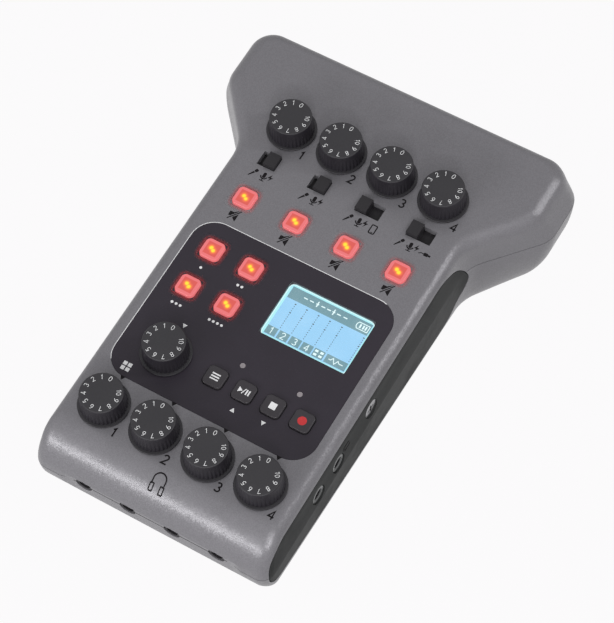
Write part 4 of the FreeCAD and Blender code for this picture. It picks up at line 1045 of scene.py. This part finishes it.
FINISHES = (
    FlakePaint("case_plastic", (0.152, 0.148, 0.16)),
    MouldedPlastic("side_panel_plastic", (0.03, 0.031, 0.031), shine=0.03),
    MouldedPlastic("overlay_plastic", (0.019, 0.0155, 0.022), 0.5, 2200.0, 0.004),
    # The knob's second colour is its sides' colour, darker as painted shade.
    KnobPlastic("knob_plastic", (0.027, 0.026, 0.029), (0.014, 0.0125, 0.016)),
    MouldedPlastic("socket_ring_plastic", (0.11, 0.112, 0.113), 0.3),
    CapGlow("cap_glow", (0.42, 0.03, 0.03)),
    MouldedPlastic("switch_plastic", (0.016, 0.015, 0.017), 0.42),
    MouldedPlastic("component_plastic", (0.016, 0.015, 0.017), 0.42),
    MouldedPlastic("dark_button", (0.03, 0.027, 0.031), 0.4),
    LitCap("lit_button", (0.74, 0.165, 0.175)),
    MouldedPlastic("light_pipe", (0.22, 0.2, 0.21), 0.3),
    Ink("white_ink", (0.66, 0.66, 0.67)),
    Ink("black_ink", (0.008, 0.007, 0.008)),
    Ink("red_ink", (0.46, 0.042, 0.045)),
    LitInk("screen_light", (0.27, 0.58, 0.86)),
    LitInk("screen_edge", (0.38, 0.84, 0.88)),
    LitInk("screen_white", (0.74, 0.95, 0.97)),
    LitInk("screen_band", (0.11, 0.26, 0.31)),
    LitInk("screen_dark", (0.03, 0.06, 0.075)),
    ClearWindow("window_clear", (0.93, 0.97, 0.98)),
    MouldedPlastic("board", (0.02, 0.12, 0.05), 0.35),
    Metal("steel", (0.55, 0.55, 0.56), 0.32),
    Metal("screw_steel", (0.3, 0.3, 0.31), 0.4),
    Metal("nickel", (0.66, 0.65, 0.63), 0.2),
    Metal("contact_metal", (0.75, 0.6, 0.32), 0.26),
    MouldedPlastic("foot_rubber", (0.022, 0.022, 0.022), 0.8, 900.0, 0.02),
    MouldedPlastic("cell_wrap", (0.05, 0.055, 0.06), 0.25, coat=0.3),
)


@cache
def material_of(finish: str) -> bpy.types.Material:
    """The material of a finish, built the first time that it is asked for."""
    return {one.name: one for one in FINISHES}[finish].material()


# Sub-assemblies


@dataclass
class Case:
    """The two shells and what is fixed to them: side panels, door, feet, screws and panel."""

    crease: float = 28.0
    moving: tuple[str, ...] = ("battery_door", "power_switch")
    skins: tuple[tuple[str, str], ...] = (
        ("upper_case", "case_plastic"),
        ("lower_case", "case_plastic"),
        ("right_side_panel", "side_panel_plastic"),
        ("left_side_panel", "side_panel_plastic"),
        ("battery_door", "case_plastic"),
        ("rubber_feet", "foot_rubber"),
        ("screws", "screw_steel"),
        ("power_switch", "switch_plastic"),
        ("control_panel", "overlay_plastic"),
        ("status_lights", "light_pipe"),
    )

    def build(self) -> None:
        """Gives each piece a smooth copy."""
        for node, finish in self.skins:
            smooth_copy(node, finish, f"{node}_moving" if node in self.moving else CASE, self.crease)


@dataclass
class Inside:
    """Boards, sockets, batteries and the other pieces inside."""

    dressed: tuple[tuple[str, str], ...] = (
        ("main_board", "board"),
        ("small_boards", "board"),
        ("potentiometer_bodies", "steel"),
        ("slide_switch_bodies", "steel"),
        ("card_slot", "steel"),
        ("usb_sockets", "steel"),
        ("tact_switches", "component_plastic"),
    )
    skins: tuple[tuple[str, str], ...] = (
        ("jack_sockets", "component_plastic"),
        ("microphone_sockets", "nickel"),
        ("microphone_inserts", "component_plastic"),
        ("microphone_contacts", "contact_metal"),
        ("batteries", "cell_wrap"),
        ("battery_contacts", "nickel"),
    )

    def build(self) -> None:
        """Dresses the flat-sided pieces and gives the round ones a smooth copy."""
        for node, finish in self.dressed:
            dress(node, finish)
        for node, finish in self.skins:
            smooth_copy(node, finish)


@dataclass
class Knobs:
    """The nine knobs with their numerals."""

    gain_y: float = 50.0
    phones_y: float = -53.6
    level: tuple[float, float] = (-18.8, -31.5)
    gain_turn: float = -9.0
    low: float = 0.3
    skirt: float = 7.57
    skirt_top: float = 0.85
    skirt_edge: float = 0.12
    base: float = 6.86
    crown: float = 6.3
    top: float = 7.42
    edge: float = 0.4
    flutes: int = 36
    flute_depth: float = 0.26
    flute_end: float = 7.0
    ring: float = 4.88
    numeral: float = 1.36
    ink: float = 0.02

    def places(self) -> list[tuple[str, float, float, float]]:
        """Each knob's name, its x and y on the control face, and how far its numerals are turned.

        Returns:
            One row per knob.
        """
        rows = (("gain", self.gain_y, self.gain_turn), ("phones", self.phones_y, 0.0))
        found = [(f"{row}_knob_{k}", x, y, turn) for row, y, turn in rows for k, x in enumerate(COLUMNS, 1)]
        return [*found, ("pad_level_knob", *self.level, 0.0)]

    def cap(self) -> Shape:
        """The knob's cap.

        Formula: the radius depends on the angle and on the place along the profile. The profile runs
        up the skirt, in to the tapered grip and over a rounded edge to the flat top. On the grip the
        radius is less by the flute's depth times ((1 - cos(flutes * angle)) / 2) ** 1.5, and the
        depth fades to nothing towards the top.

        Returns:
            The closed shape about the origin.
        """
        rise = np.linspace(self.skirt_top, self.top - self.edge, 16)
        share = (rise - self.skirt_top) / (self.top - self.skirt_top)
        grip = self.base + (self.crown - self.base) * share
        bend = np.radians(np.linspace(15, 90, 6))
        over = grip[-1] - self.edge * (1 - np.cos(bend))
        inner = np.linspace(over[-1] - 0.3, 0.6, 3)
        thin, cut = self.skirt - self.skirt_edge, self.skirt_edge
        radius = np.concatenate([[thin, self.skirt, self.skirt, thin], grip, over, inner])
        foot = [self.low, self.low + cut, self.skirt_top - cut, self.skirt_top]
        curl = self.top - self.edge + self.edge * np.sin(bend)
        height = np.concatenate([foot, rise, curl, np.full(3, self.top)])
        fade = 1 - smooth_step((height - self.skirt_top) / (self.flute_end - self.skirt_top))
        fade[: len(foot)] = 0.0
        angle = np.linspace(0, 2 * math.pi, self.flutes * 8, endpoint=False)
        wave = (1 - np.cos(self.flutes * angle)) / 2
        spread = radius[:, None] - self.flute_depth * fade[:, None] * wave[None, :] ** 1.5
        level = np.broadcast_to(height[:, None], spread.shape)
        return skin_rings(np.stack([spread * np.cos(angle), spread * np.sin(angle), level], axis=2))

    def numerals(self, turn: float) -> Shape:
        """The numerals from 0 to 10 round the top, every 30 degrees against the clock.

        Args:
            turn: How far they are turned, in degrees against the clock.

        Returns:
            The numerals, about the knob's middle.
        """
        plates = []
        stamp = Stamp(self.top, self.top + self.ink)
        for number in range(11):
            angle = 30 * number + turn
            plate = stamp.number(number, self.numeral).scaled(0.92 if number == 10 else 1.0)
            plates.append(plate.shifted(y=self.ring).turned(angle))
        return joined(plates)

    def build(self) -> None:
        """Builds each cap with its numerals and dresses its shaft."""
        cap = self.cap()
        for name, x, y, turn in self.places():
            body = f"{name}_turning"
            piece = face_piece(f"{name}_cap", cap.shifted(x, y), "knob_plastic", body)
            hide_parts(name)
            face_piece(f"{name}_numerals", self.numerals(turn).shifted(x, y), "white_ink", body)
            dress(name.replace("knob", "shaft"), "steel")


@dataclass
class Buttons:
    """The lit caps with the glow round them, the dark transport keys and their signs."""

    mute_y: float = 23.0
    pad: tuple[float, float] = (-18.3, -3.3)
    pad_pitch: tuple[float, float] = (13.0, 13.5)
    keys: tuple[float, float] = (11.5, -31.35)
    key_pitch: float = 9.4
    width: float = 6.2
    top: float = 0.8
    ink: float = 0.02
    crease: float = 40.0
    glow_start: float = 0.25
    glow_width: float = 1.5
    glow_low: float = 0.004

    def lit_places(self) -> dict[str, tuple[float, float]]:
        """Centres of the lit caps.

        Returns:
            The x and y of each cap, by node.
        """
        found = {f"mute_button_{k}": (x, self.mute_y) for k, x in enumerate(COLUMNS, 1)}
        sides = ((-0.5, 0.5), (0.5, 0.5), (-0.5, -0.5), (0.5, -0.5))
        for k, side in enumerate(sides, 1):
            found[f"sound_pad_{k}"] = tuple(c + s * p for c, s, p in zip(self.pad, side, self.pad_pitch))
        return found

    def glow_ring(self) -> Shape:
        """The flat ring round a lit cap, with a UV map that spans its width.

        Returns:
            The ring, about the cap's middle.
        """
        middle = self.width / 2 + self.glow_start + self.glow_width / 2
        path = rounded_box(2 * middle, 2 * middle, middle * 0.3, 8)
        ring = Stamp(self.glow_low, self.glow_low + self.ink / 4).line(path, self.glow_width, True)
        span = self.width + 2 * (self.glow_start + self.glow_width)
        return Shape(ring.points, ring.faces, ring.points[:, :2] / span + 0.5)

    def signs(self) -> dict[str, tuple[Shape, str]]:
        """The sign on each transport key and its ink.

        Returns:
            Each key's sign, about its middle, and the name of its ink.
        """
        stamp = Stamp(self.top, self.top + self.ink)
        triangle = stamp.fill([[-1.75, -0.85], [-0.45, 0.0], [-1.75, 0.85]])
        slash = stamp.line([[-0.42, -0.95], [0.35, 0.95]], 0.26)
        pause = [stamp.tile(0.42, 1.7, 0.04, x) for x in (0.85, 1.6)]
        return {
            "menu_button": (joined([stamp.tile(2.6, 0.42, 0.05, 0, y) for y in (-0.85, 0, 0.85)]), "white_ink"),
            "play_button": (joined([triangle, slash, *pause]), "white_ink"),
            "stop_button": (stamp.tile(2.1, 2.1, 0.15), "white_ink"),
            "record_button": (stamp.fill(disc(1.35)), "red_ink"),
        }

    def build(self) -> None:
        """Builds the caps and the signs."""
        for node, centre in self.lit_places().items():
            smooth_copy(node, "lit_button", f"{node}_moving", self.crease, centre, self.width)
            face_piece(f"{node}_glow", self.glow_ring().shifted(*centre), "cap_glow")
        for k, (node, (sign, ink)) in enumerate(self.signs().items()):
            smooth_copy(node, "dark_button", f"{node}_moving", self.crease)
            x = self.keys[0] + (k - 1.5) * self.key_pitch
            face_piece(f"{node}_sign", sign.shifted(x, self.keys[1]), ink, f"{node}_moving")


@dataclass
class Switches:
    """The input slide switches."""

    count: int = 4

    def build(self) -> None:
        """Gives each slider a smooth copy."""
        for number in range(1, self.count + 1):
            smooth_copy(f"input_switch_{number}", "switch_plastic", f"input_switch_{number}_moving")


@dataclass
class SideSockets:
    """The raised rings round the two sockets in the right side."""

    places: tuple[float, float] = (-33.6, -44.6)
    z: float = -9.7
    foot: float = 37.4
    face: float = 38.0
    inner: float = 1.9
    outer: float = 2.96
    edge: float = 0.22
    steps: int = 48

    def ring(self) -> Shape:
        """One ring about the x axis.

        Formula: a closed profile of x and radius, a rectangle with its two outer corners cut, is
        turned round the x axis in even steps.

        Returns:
            The closed shape about the origin of y and z.
        """
        shy = self.face - self.edge
        x = np.array([self.foot, self.foot, shy, self.face, self.face, shy])
        swell, trim = self.outer - self.edge, self.inner + self.edge
        radius = np.array([self.inner, self.outer, self.outer, swell, trim, self.inner])
        angle = np.linspace(0, 2 * math.pi, self.steps, endpoint=False)[:, None]
        level = np.broadcast_to(x, (self.steps, len(x)))
        return skin_loop(np.stack([level, radius * np.cos(angle), radius * np.sin(angle)], axis=2))

    def build(self) -> None:
        """Builds the rings."""
        rings = joined([self.ring().shifted(0, y, self.z) for y in self.places])
        face_piece("side_socket_rings", rings, "socket_ring_plastic")


@dataclass
class Display:
    """The lit screen under its window, drawn in thin layers."""

    z: float = -1.09
    step: float = 0.012
    left: float = 0.45
    right: float = 28.15
    front: float = -12.65
    rear: float = 5.85
    corner: float = 1.3
    line: float = 0.2
    meter_pitch: float = 0.77
    fields: tuple[tuple[float, float], ...] = (
        (1.35, 4.75),
        (5.3, 8.6),
        (9.1, 12.5),
        (12.95, 16.35),
        (16.8, 20.25),
        (20.8, 27.5),
    )

    def stamp(self, layer: int) -> Stamp:
        """A stamp for the marks over a layer of the screen."""
        low = self.z + layer * self.step
        return Stamp(low, low + self.step)

    def sheets(self, layer: int) -> Stamp:
        """A stamp for the sheets of a layer, a little thinner than it."""
        top = self.z + layer * self.step
        return Stamp(top - self.step * 0.9, top)

    def bands(self) -> Shape:
        """The dark bands at the rear and the front of the screen.

        Returns:
            The marks as one shape, in place.
        """
        stamp = self.sheets(2)
        front = [stamp.sheet(x0, -11.7, x1, -8.95) for x0, x1 in self.fields]
        return joined([stamp.sheet(1.45, 1.25, 27.55, 5.15), *front])

    def corners(self) -> Shape:
        """The dark corners that leave the screen with round ones.

        Formula: the square corner followed by a quarter circle of the corner's radius, bent inwards.

        Returns:
            The four corners.
        """
        bend = self.corner + arc(self.corner, 180, 270, 8)
        outline = np.concatenate([[[-0.2, -0.2], [self.corner, -0.2]], bend[::-1], [[-0.2, self.corner]]])
        plate = self.stamp(3).fill(outline)
        spots = ((self.left, self.front), (self.right, self.front), (self.right, self.rear), (self.left, self.rear))
        return joined([plate.turned(90.0 * k).shifted(x, y) for k, (x, y) in enumerate(spots)])

    def outline(self) -> Shape:
        """The thin white line round the screen.

        Returns:
            The line, in place.
        """
        wide, tall = self.right - self.left - self.line, self.rear - self.front - self.line
        line = self.stamp(2).line(rounded_box(wide, tall, self.corner, 8), self.line, True)
        return line.shifted((self.left + self.right) / 2, (self.front + self.rear) / 2)

    def marks(self) -> Shape:
        """The pale dashes, battery sign, channel numbers, squares and wave on the dark bands.

        Returns:
            The marks as one shape, in place.
        """
        stamp = self.stamp(2)
        found = [stamp.tile(1.25, 0.34, 0.05, x, 3.35) for x in (6.5, 8.5, 12.25, 14.1, 17.35, 19.5)]
        for x in (10.4, 15.7):
            found += [stamp.tile(wide, tall, 0.05, x, 3.35) for wide, tall in ((0.9, 0.34), (0.34, 1.9))]
        cell = [[-1.9, -0.4], [-1.5, -1.05], [1.9, -1.05], [1.9, 1.05], [-1.5, 1.05], [-1.9, 0.4]]
        found.append(stamp.line(cell, 0.26, True).shifted(25.2, 3.15))
        found += [stamp.tile(0.5, 1.3, 0.04, x, 3.15) for x in (24.5, 25.5, 26.3)]
        found += [stamp.number(k + 1, 2.0, 0.12).shifted(3.05 + k * 3.85, -10.3) for k in range(4)]
        found += [stamp.tile(1.0, 0.7, 0.06, x, y) for x in (17.65, 19.35) for y in (-10.9, -9.7)]
        wave = [[21.8, -10.3], [22.5, -10.3], [23.0, -9.5], [23.9, -11.1], [24.6, -9.7], [25.2, -10.3], [26.4, -10.3]]
        return joined([*found, stamp.line(wave, 0.24)])

    def meters(self) -> Shape:
        """The dotted meter lines, with wider dots at two levels.

        Returns:
            The marks as one shape, in place.
        """
        stamp = self.stamp(1)
        found = []
        for x in (4.85, 8.6, 12.45, 16.2, 20.1, 27.25):
            for k in range(12):
                found.append(stamp.tile(0.5 if k in (7, 11) else 0.2, 0.36, 0.04, x, -8.2 + k * self.meter_pitch))
        return joined(found)

    def build(self) -> None:
        """Dresses the module and the window and builds the screen's layers."""
        dress("display_module", "screen_edge")
        dress("display_window", "window_clear")
        face_piece("screen_field", self.sheets(1).sheet(1.35, -11.95, 27.65, 5.2), "screen_light")
        face_piece("screen_bands", self.bands(), "screen_band")
        face_piece("screen_marks", self.marks(), "screen_white")
        face_piece("screen_meters", self.meters(), "screen_dark")
        face_piece("screen_corners", self.corners(), "overlay_plastic")
        face_piece("screen_outline", self.outline(), "screen_white")


@dataclass
class Prints:
    """The marks printed on the case and on the control panel, with a painted highlight on the panel's rear edge and
    painted shade in the side screw's cross.
    """

    ink: Stamp = Stamp(0.0, 0.015)
    raised: Stamp = Stamp(-0.02, 0.09)
    numeral: float = 2.7
    weight: float = 0.17
    number_x: float = 6.95
    icon_y: float = 31.9
    headphones_y: float = -66.0
    slash: float = 52.0
    seam: tuple[float, float, float] = (-72.92, -13.3, 0.3)
    socket_half: float = 2.45
    socket_pitch: float = 14.5
    recess_half: float = 25.2
    side_place: tuple[float, float] = (-28.7, -7.6)
    side_screw: tuple[float, float, float] = (37.52, -14.9, -8.6)
    panel: tuple[float, float, float, float] = (66.1, 56.3, 7.5, -15.4)

    def plain_mic(self) -> Shape:
        """A hand microphone: a thick head on a tapered grip, leaning to the right."""
        grip = self.ink.fill([[-1.4, -0.1], [0.35, -0.26], [0.35, 0.26], [-1.4, 0.1]])
        return joined([grip, self.ink.tile(0.95, 0.78, 0.3, 0.95)]).turned(56)

    def studio_mic(self) -> Shape:
        """A studio microphone: a capsule in a fork on a foot.

        Returns:
            The sign, about the origin.
        """
        fork = self.ink.line(arc(0.85, 190, 350, 10) + np.array([0, 0.3]), 0.32)
        stem, foot = self.ink.tile(0.24, 0.6, 0.03, 0, -0.8), self.ink.tile(1.2, 0.24, 0.03, 0, -1.15)
        return joined([self.ink.tile(0.85, 1.6, 0.4, 0, 0.5), fork, stem, foot])

    def bolt(self) -> Shape:
        """A lightning bolt in two halves."""
        outline = np.array([[0.12, 1.0], [-0.65, -0.15], [-0.02, -0.15], [-0.3, -1.0], [0.6, 0.22], [0.02, 0.22]])
        return joined([self.ink.fill(outline[half]) for half in ([0, 1, 2, 5], [5, 2, 3, 4])])

    def handset(self) -> Shape:
        """A pocket phone in outline."""
        body = self.ink.line(rounded_box(1.7, 2.9, 0.3), 0.36, True)
        return joined([body, self.ink.tile(0.6, 0.2, 0.05, 0, -1.05)])

    def plug(self) -> Shape:
        """A plain plug on a lead."""
        lead = self.ink.line([[-0.2, 0.0], [-1.1, 0.0], [-1.8, -0.45]], 0.26)
        return joined([self.ink.tile(1.3, 1.1, 0.15, 0.4), self.ink.tile(0.8, 0.6, 0.05, 1.45), lead])

    def muted_speaker(self) -> Shape:
        """A loudspeaker cut in two by a slanting stroke with a gap on both sides of it.

        Returns:
            The sign, about the origin.
        """
        angle = math.radians(self.slash)
        along = np.array([math.cos(angle), math.sin(angle)])
        across = np.array([along[1], -along[0]])
        magnet = np.array([[-1.5, -0.65], [-0.4, -0.65], [-0.4, 0.65], [-1.5, 0.65]])
        horn = np.array([[-0.45, -0.65], [0.95, -1.75], [0.95, 1.75], [-0.45, 0.65]])
        found = [self.ink.line([-2.1 * along, 2.1 * along], 0.28)]
        for outline in (magnet, horn):
            parts = [clipped(outline, side * across * 0.34, side * across) for side in (1.0, -1.0)]
            found += [self.ink.fill(part) for part in parts if len(part) > 2]
        return joined(found)

    def triangle(self, wide: float, tall: float) -> Shape:
        """A triangle that points towards the front."""
        return self.ink.fill([[-wide / 2, tall / 2], [0.0, -tall / 2], [wide / 2, tall / 2]])

    def number(self, number: int) -> Shape:
        """The number of a channel."""
        return self.ink.number(number, self.numeral, self.weight)

    def case_marks(self) -> Shape:
        """All black marks on the flat part of the case.

        Returns:
            The marks as one shape, in place.
        """
        found = []
        for number, x in enumerate(COLUMNS, 1):
            start = x - 0.3 + (-2.3 if number < 3 else -4.25)
            found += [
                self.number(number).shifted(x + self.number_x, 43.7),
                self.triangle(1.7, 1.35).shifted(x - 0.1, -44.1),
                self.muted_speaker().scaled(1.15).shifted(x + 0.1, 16.75),
                self.plain_mic().scaled(1.25).shifted(start, self.icon_y),
                self.studio_mic().scaled(1.2).shifted(start + 3.5, 32.0),
                self.bolt().scaled(1.3).shifted(start + 5.5, 32.5),
            ]
        for sign, x in ((self.handset(), 12.3), (self.plug(), 29.3)):
            found.append(sign.shifted(x, self.icon_y))
        return joined(found)

    def panel_marks(self) -> Shape:
        """All white marks on the control panel: four squares and three triangles.

        Returns:
            The marks as one shape, in place.
        """
        tiles = [self.ink.tile(1.2, 1.2, 0.12, x, y) for x in (-0.78, 0.78) for y in (-0.78, 0.78)]
        return joined(
            [
                joined(tiles).shifted(-26.5, -40.4),
                self.triangle(1.5, 1.3).shifted(-18.9, -21.6),
                self.triangle(1.45, 1.35).turned(180).shifted(6.8, -37.5),
                self.triangle(1.45, 1.35).shifted(16.2, -37.1),
            ]
        )

    def pad_numbers(self) -> Shape:
        """The dots that number the sound pads.

        Returns:
            The marks as one shape, in place.
        """
        dot = self.ink.fill(disc(0.42))
        spots = ((-24.8, -3.0), (-11.8, -2.8), (-24.8, -16.5), (-11.8, -16.3))
        found = []
        for count, (x, y) in enumerate(spots, 1):
            found += [dot.shifted(x + (k - (count - 1) / 2) * 1.35, y) for k in range(count)]
        return joined(found)

    def headphones(self) -> Shape:
        """A pair of headphones in outline for the rolled front.

        Returns:
            The sign, flat and still to be laid on the case.
        """
        band = np.concatenate([[[-1.9, -0.9]], bow(0.75, 1.9, 1.9, 180, 0, 16), [[1.9, -0.9]]])
        cup = self.raised.line(rounded_box(1.1, 2.0, 0.2, 3), 0.34, True)
        cups = [cup.shifted(x, -1.6) for x in (-1.6, 1.6)]
        return joined([self.raised.line(band, 0.38), *cups]).shifted(0, self.headphones_y)

    def side_handset(self) -> Shape:
        """The outline of a pocket phone for the right side, over y and z.

        Returns:
            The sign, flat and still to be laid on the side.
        """
        body = self.raised.line(rounded_box(3.0, 1.7, 0.35, 3), 0.25, True)
        key = self.raised.tile(0.2, 0.6, 0.05, -1.1)
        return joined([body, key]).sideways().shifted(0, *self.side_place)

    def screw_shade(self) -> Shape:
        """The shade at the bottom of the side screw's cross, over y and z.

        Returns:
            The two crossed bars, in place.
        """
        stamp = Stamp(0.0, 0.1)
        bars = [stamp.tile(3.1, 0.6, 0.2), stamp.tile(0.6, 3.1, 0.2).shifted(z=0.005)]
        return joined(bars).sideways().shifted(*self.side_screw)

    def panel_edge(self) -> Shape:
        """Painted highlight: the pale line where the rear edge of the control panel catches the light.

        Returns:
            The line, in place.
        """
        width, length, corner, middle = self.panel
        path = rounded_box(width, length, corner, 10) + np.array([0, middle])
        return self.ink.line(path[len(path) // 5 : len(path) * 5 // 8], 0.2)

    def socket_seam(self) -> Shape:
        """The dark joint of the two shells between the phones sockets.

        Returns:
            The runs of the joint, in place.
        """
        y, z, tall = self.seam
        stamp = Stamp(z - tall / 2, z + tall / 2)
        holes = [(k - 1.5) * self.socket_pitch for k in range(4)]
        edge, half = self.recess_half + self.socket_half, self.socket_half
        runs = zip([-edge, *holes], [*holes, edge])
        return joined([stamp.sheet(start + half, y, end - half, y + 0.1) for start, end in runs])

    def build(self) -> None:
        """Builds the printed marks, the painted highlight on the panel's edge and the painted shade in the screw's
        cross.
        """
        phones = [self.number(k).shifted(x + self.number_x, -59.6) for k, x in enumerate(COLUMNS, 1)]
        face_piece("headphones_print", draped(self.headphones(), "upper_case", 2), "black_ink")
        face_piece("side_handset_print", draped(self.side_handset(), "right_side_panel", 0), "black_ink")
        face_piece("side_screw_shade", self.screw_shade(), "black_ink")
        # Painted highlight along the panel's rear edge, drawn in the white ink.
        face_piece("rear_edge_painted_highlight", self.panel_edge(), "white_ink")
        face_piece("case_prints", self.case_marks(), "black_ink")
        face_piece("socket_seam", self.socket_seam(), "black_ink")
        face_piece("phones_prints", joined(phones), "black_ink")
        face_piece("panel_prints", self.panel_marks(), "white_ink")
        face_piece("pad_prints", self.pad_numbers(), "white_ink")


# Studio


def put(name: str, data: object) -> bpy.types.Object:
    """Adds an object with a mesh, lamp or camera to the scene.

    Args:
        name: Its name.
        data: Its mesh, lamp or camera.

    Returns:
        The new object.
    """
    holder = bpy.data.objects.new(name, data)
    bpy.context.scene.collection.objects.link(holder)
    return holder


@dataclass(frozen=True)
class Lamp:
    """A soft box."""

    name: str
    place: tuple[float, float, float]
    aim: tuple[float, float, float]
    size: tuple[float, float]
    power: float

    def build(self) -> None:
        """Adds the lamp."""
        light = bpy.data.lights.new(self.name, "AREA")
        light.shape = "RECTANGLE"
        light.size, light.size_y = self.size
        light.energy = self.power
        holder = put(self.name, light)
        holder.location = self.place
        away = Vector(self.place) - Vector(self.aim)
        holder.rotation_euler = away.to_track_quat("Z", "Y").to_euler()


@dataclass
class Studio:
    """Camera, floor, background and lamps."""

    camera_place: tuple[float, float, float] = (0.191743, -0.331382, 0.595812)
    camera_turn: tuple[float, float, float] = (33.6368, -0.7269, 30.3256)
    lens: float = 137.28
    white: tuple[float, float, float, float] = (0.985, 0.977, 0.985, 1.0)
    paper: Colour = (0.3, 0.298, 0.3)
    floor_glow: float = 0.97
    floor_reach: float = 6.0
    sky: float = 0.4
    lamps: tuple[Lamp, ...] = (
        Lamp("key_box", (0.45, -0.75, 1.0), (0, 0, 0), (0.6, 0.6), 5.2),
        Lamp("front_box", (-0.28, -0.9, 0.3), (0, 0, 0.02), (0.8, 0.16), 6.6),
        Lamp("right_box", (0.75, 0.45, 0.6), (0, 0, 0.02), (0.08, 0.7), 3.2),
        Lamp("flare_box", (0.46, -0.78, 0.6), (0, 0.04, 0.02), (0.3, 0.06), 2.6),
    )

    def camera(self) -> None:
        """Adds the camera."""
        lens = bpy.data.cameras.new("camera")
        lens.lens, lens.sensor_width, lens.clip_start = self.lens, 36.0, 0.01
        holder = put("camera", lens)
        holder.location = self.camera_place
        holder.rotation_euler = [math.radians(a) for a in self.camera_turn]
        bpy.context.scene.camera = holder

    @staticmethod
    def seen(bench: Bench) -> object:
        """A share that is 1 for what the camera sees, also through glass and in what shines.

        Args:
            bench: The bench of the material or the world.

        Returns:
            The share's output.
        """
        path = bench.add("ShaderNodeLightPath").outputs
        direct = bench.sum_up("MAXIMUM", path["Is Camera Ray"], path["Is Transmission Ray"])
        return bench.sum_up("MAXIMUM", direct, path["Is Glossy Ray"])

    def background(self) -> None:
        """Sets the world: white to the eye, softer as a light."""
        world = bpy.data.worlds.new("studio")
        bpy.context.scene.world = world
        world.use_nodes = True
        world.node_tree.nodes.clear()
        bench = Bench(world.node_tree)
        plain = bench.add("ShaderNodeBackground", {"Color": (1.0, 1.0, 1.0, 1.0), "Strength": self.sky})
        white = bench.add("ShaderNodeBackground", {"Color": self.white})
        mixed = bench.mix(self.seen(bench), plain.outputs[0], white.outputs[0])
        bench.add("ShaderNodeOutputWorld", {0: mixed})

    def floor(self) -> None:
        """Adds the floor: white to the eye with the object's soft shadow, and clear from below."""
        mesh = bpy.data.meshes.new("floor")
        far = self.floor_reach
        mesh.from_pydata([(-far, -far, 0), (far, -far, 0), (far, far, 0), (-far, far, 0)], [], [(0, 1, 2, 3)])
        made = bpy.data.materials.new("floor_paper")
        on = Surface(made)
        tone = on.effect(Effect.GRAIN, 60.0)["Tone"]
        on.fill({"Base Color": on.tint(self.paper, tone, 0.005)})
        on.roughen(tone, 0.9, 0.02)
        glow = on.add("ShaderNodeEmission", {"Color": self.white}).outputs[0]
        share = on.sum_up("MULTIPLY", self.seen(on), self.floor_glow)
        above = on.mix(share, on.shader.outputs[0], glow)
        under = on.add("ShaderNodeNewGeometry").outputs["Backfacing"]
        clear = on.mix(under, above, on.add("ShaderNodeBsdfTransparent").outputs[0])
        on.feed(clear, on.tree.nodes["Material Output"], 0)
        mesh.materials.append(made)
        put("floor", mesh)

    def build(self) -> None:
        """Builds the studio."""
        self.camera()
        self.background()
        self.floor()
        for lamp in self.lamps:
            lamp.build()
        bpy.context.scene.view_settings.view_transform = "Standard"


def main() -> None:
    """Builds the studio and the recorder in order."""
    logging.basicConfig(level=logging.INFO, format="%(name)s: %(message)s")
    for part in (Studio, Case, Inside, Knobs, Buttons, Switches, SideSockets, Display, Prints):
        LOG.info("building %s", part.__name__)
        part().build()


if __name__ == "__main__":
    main()
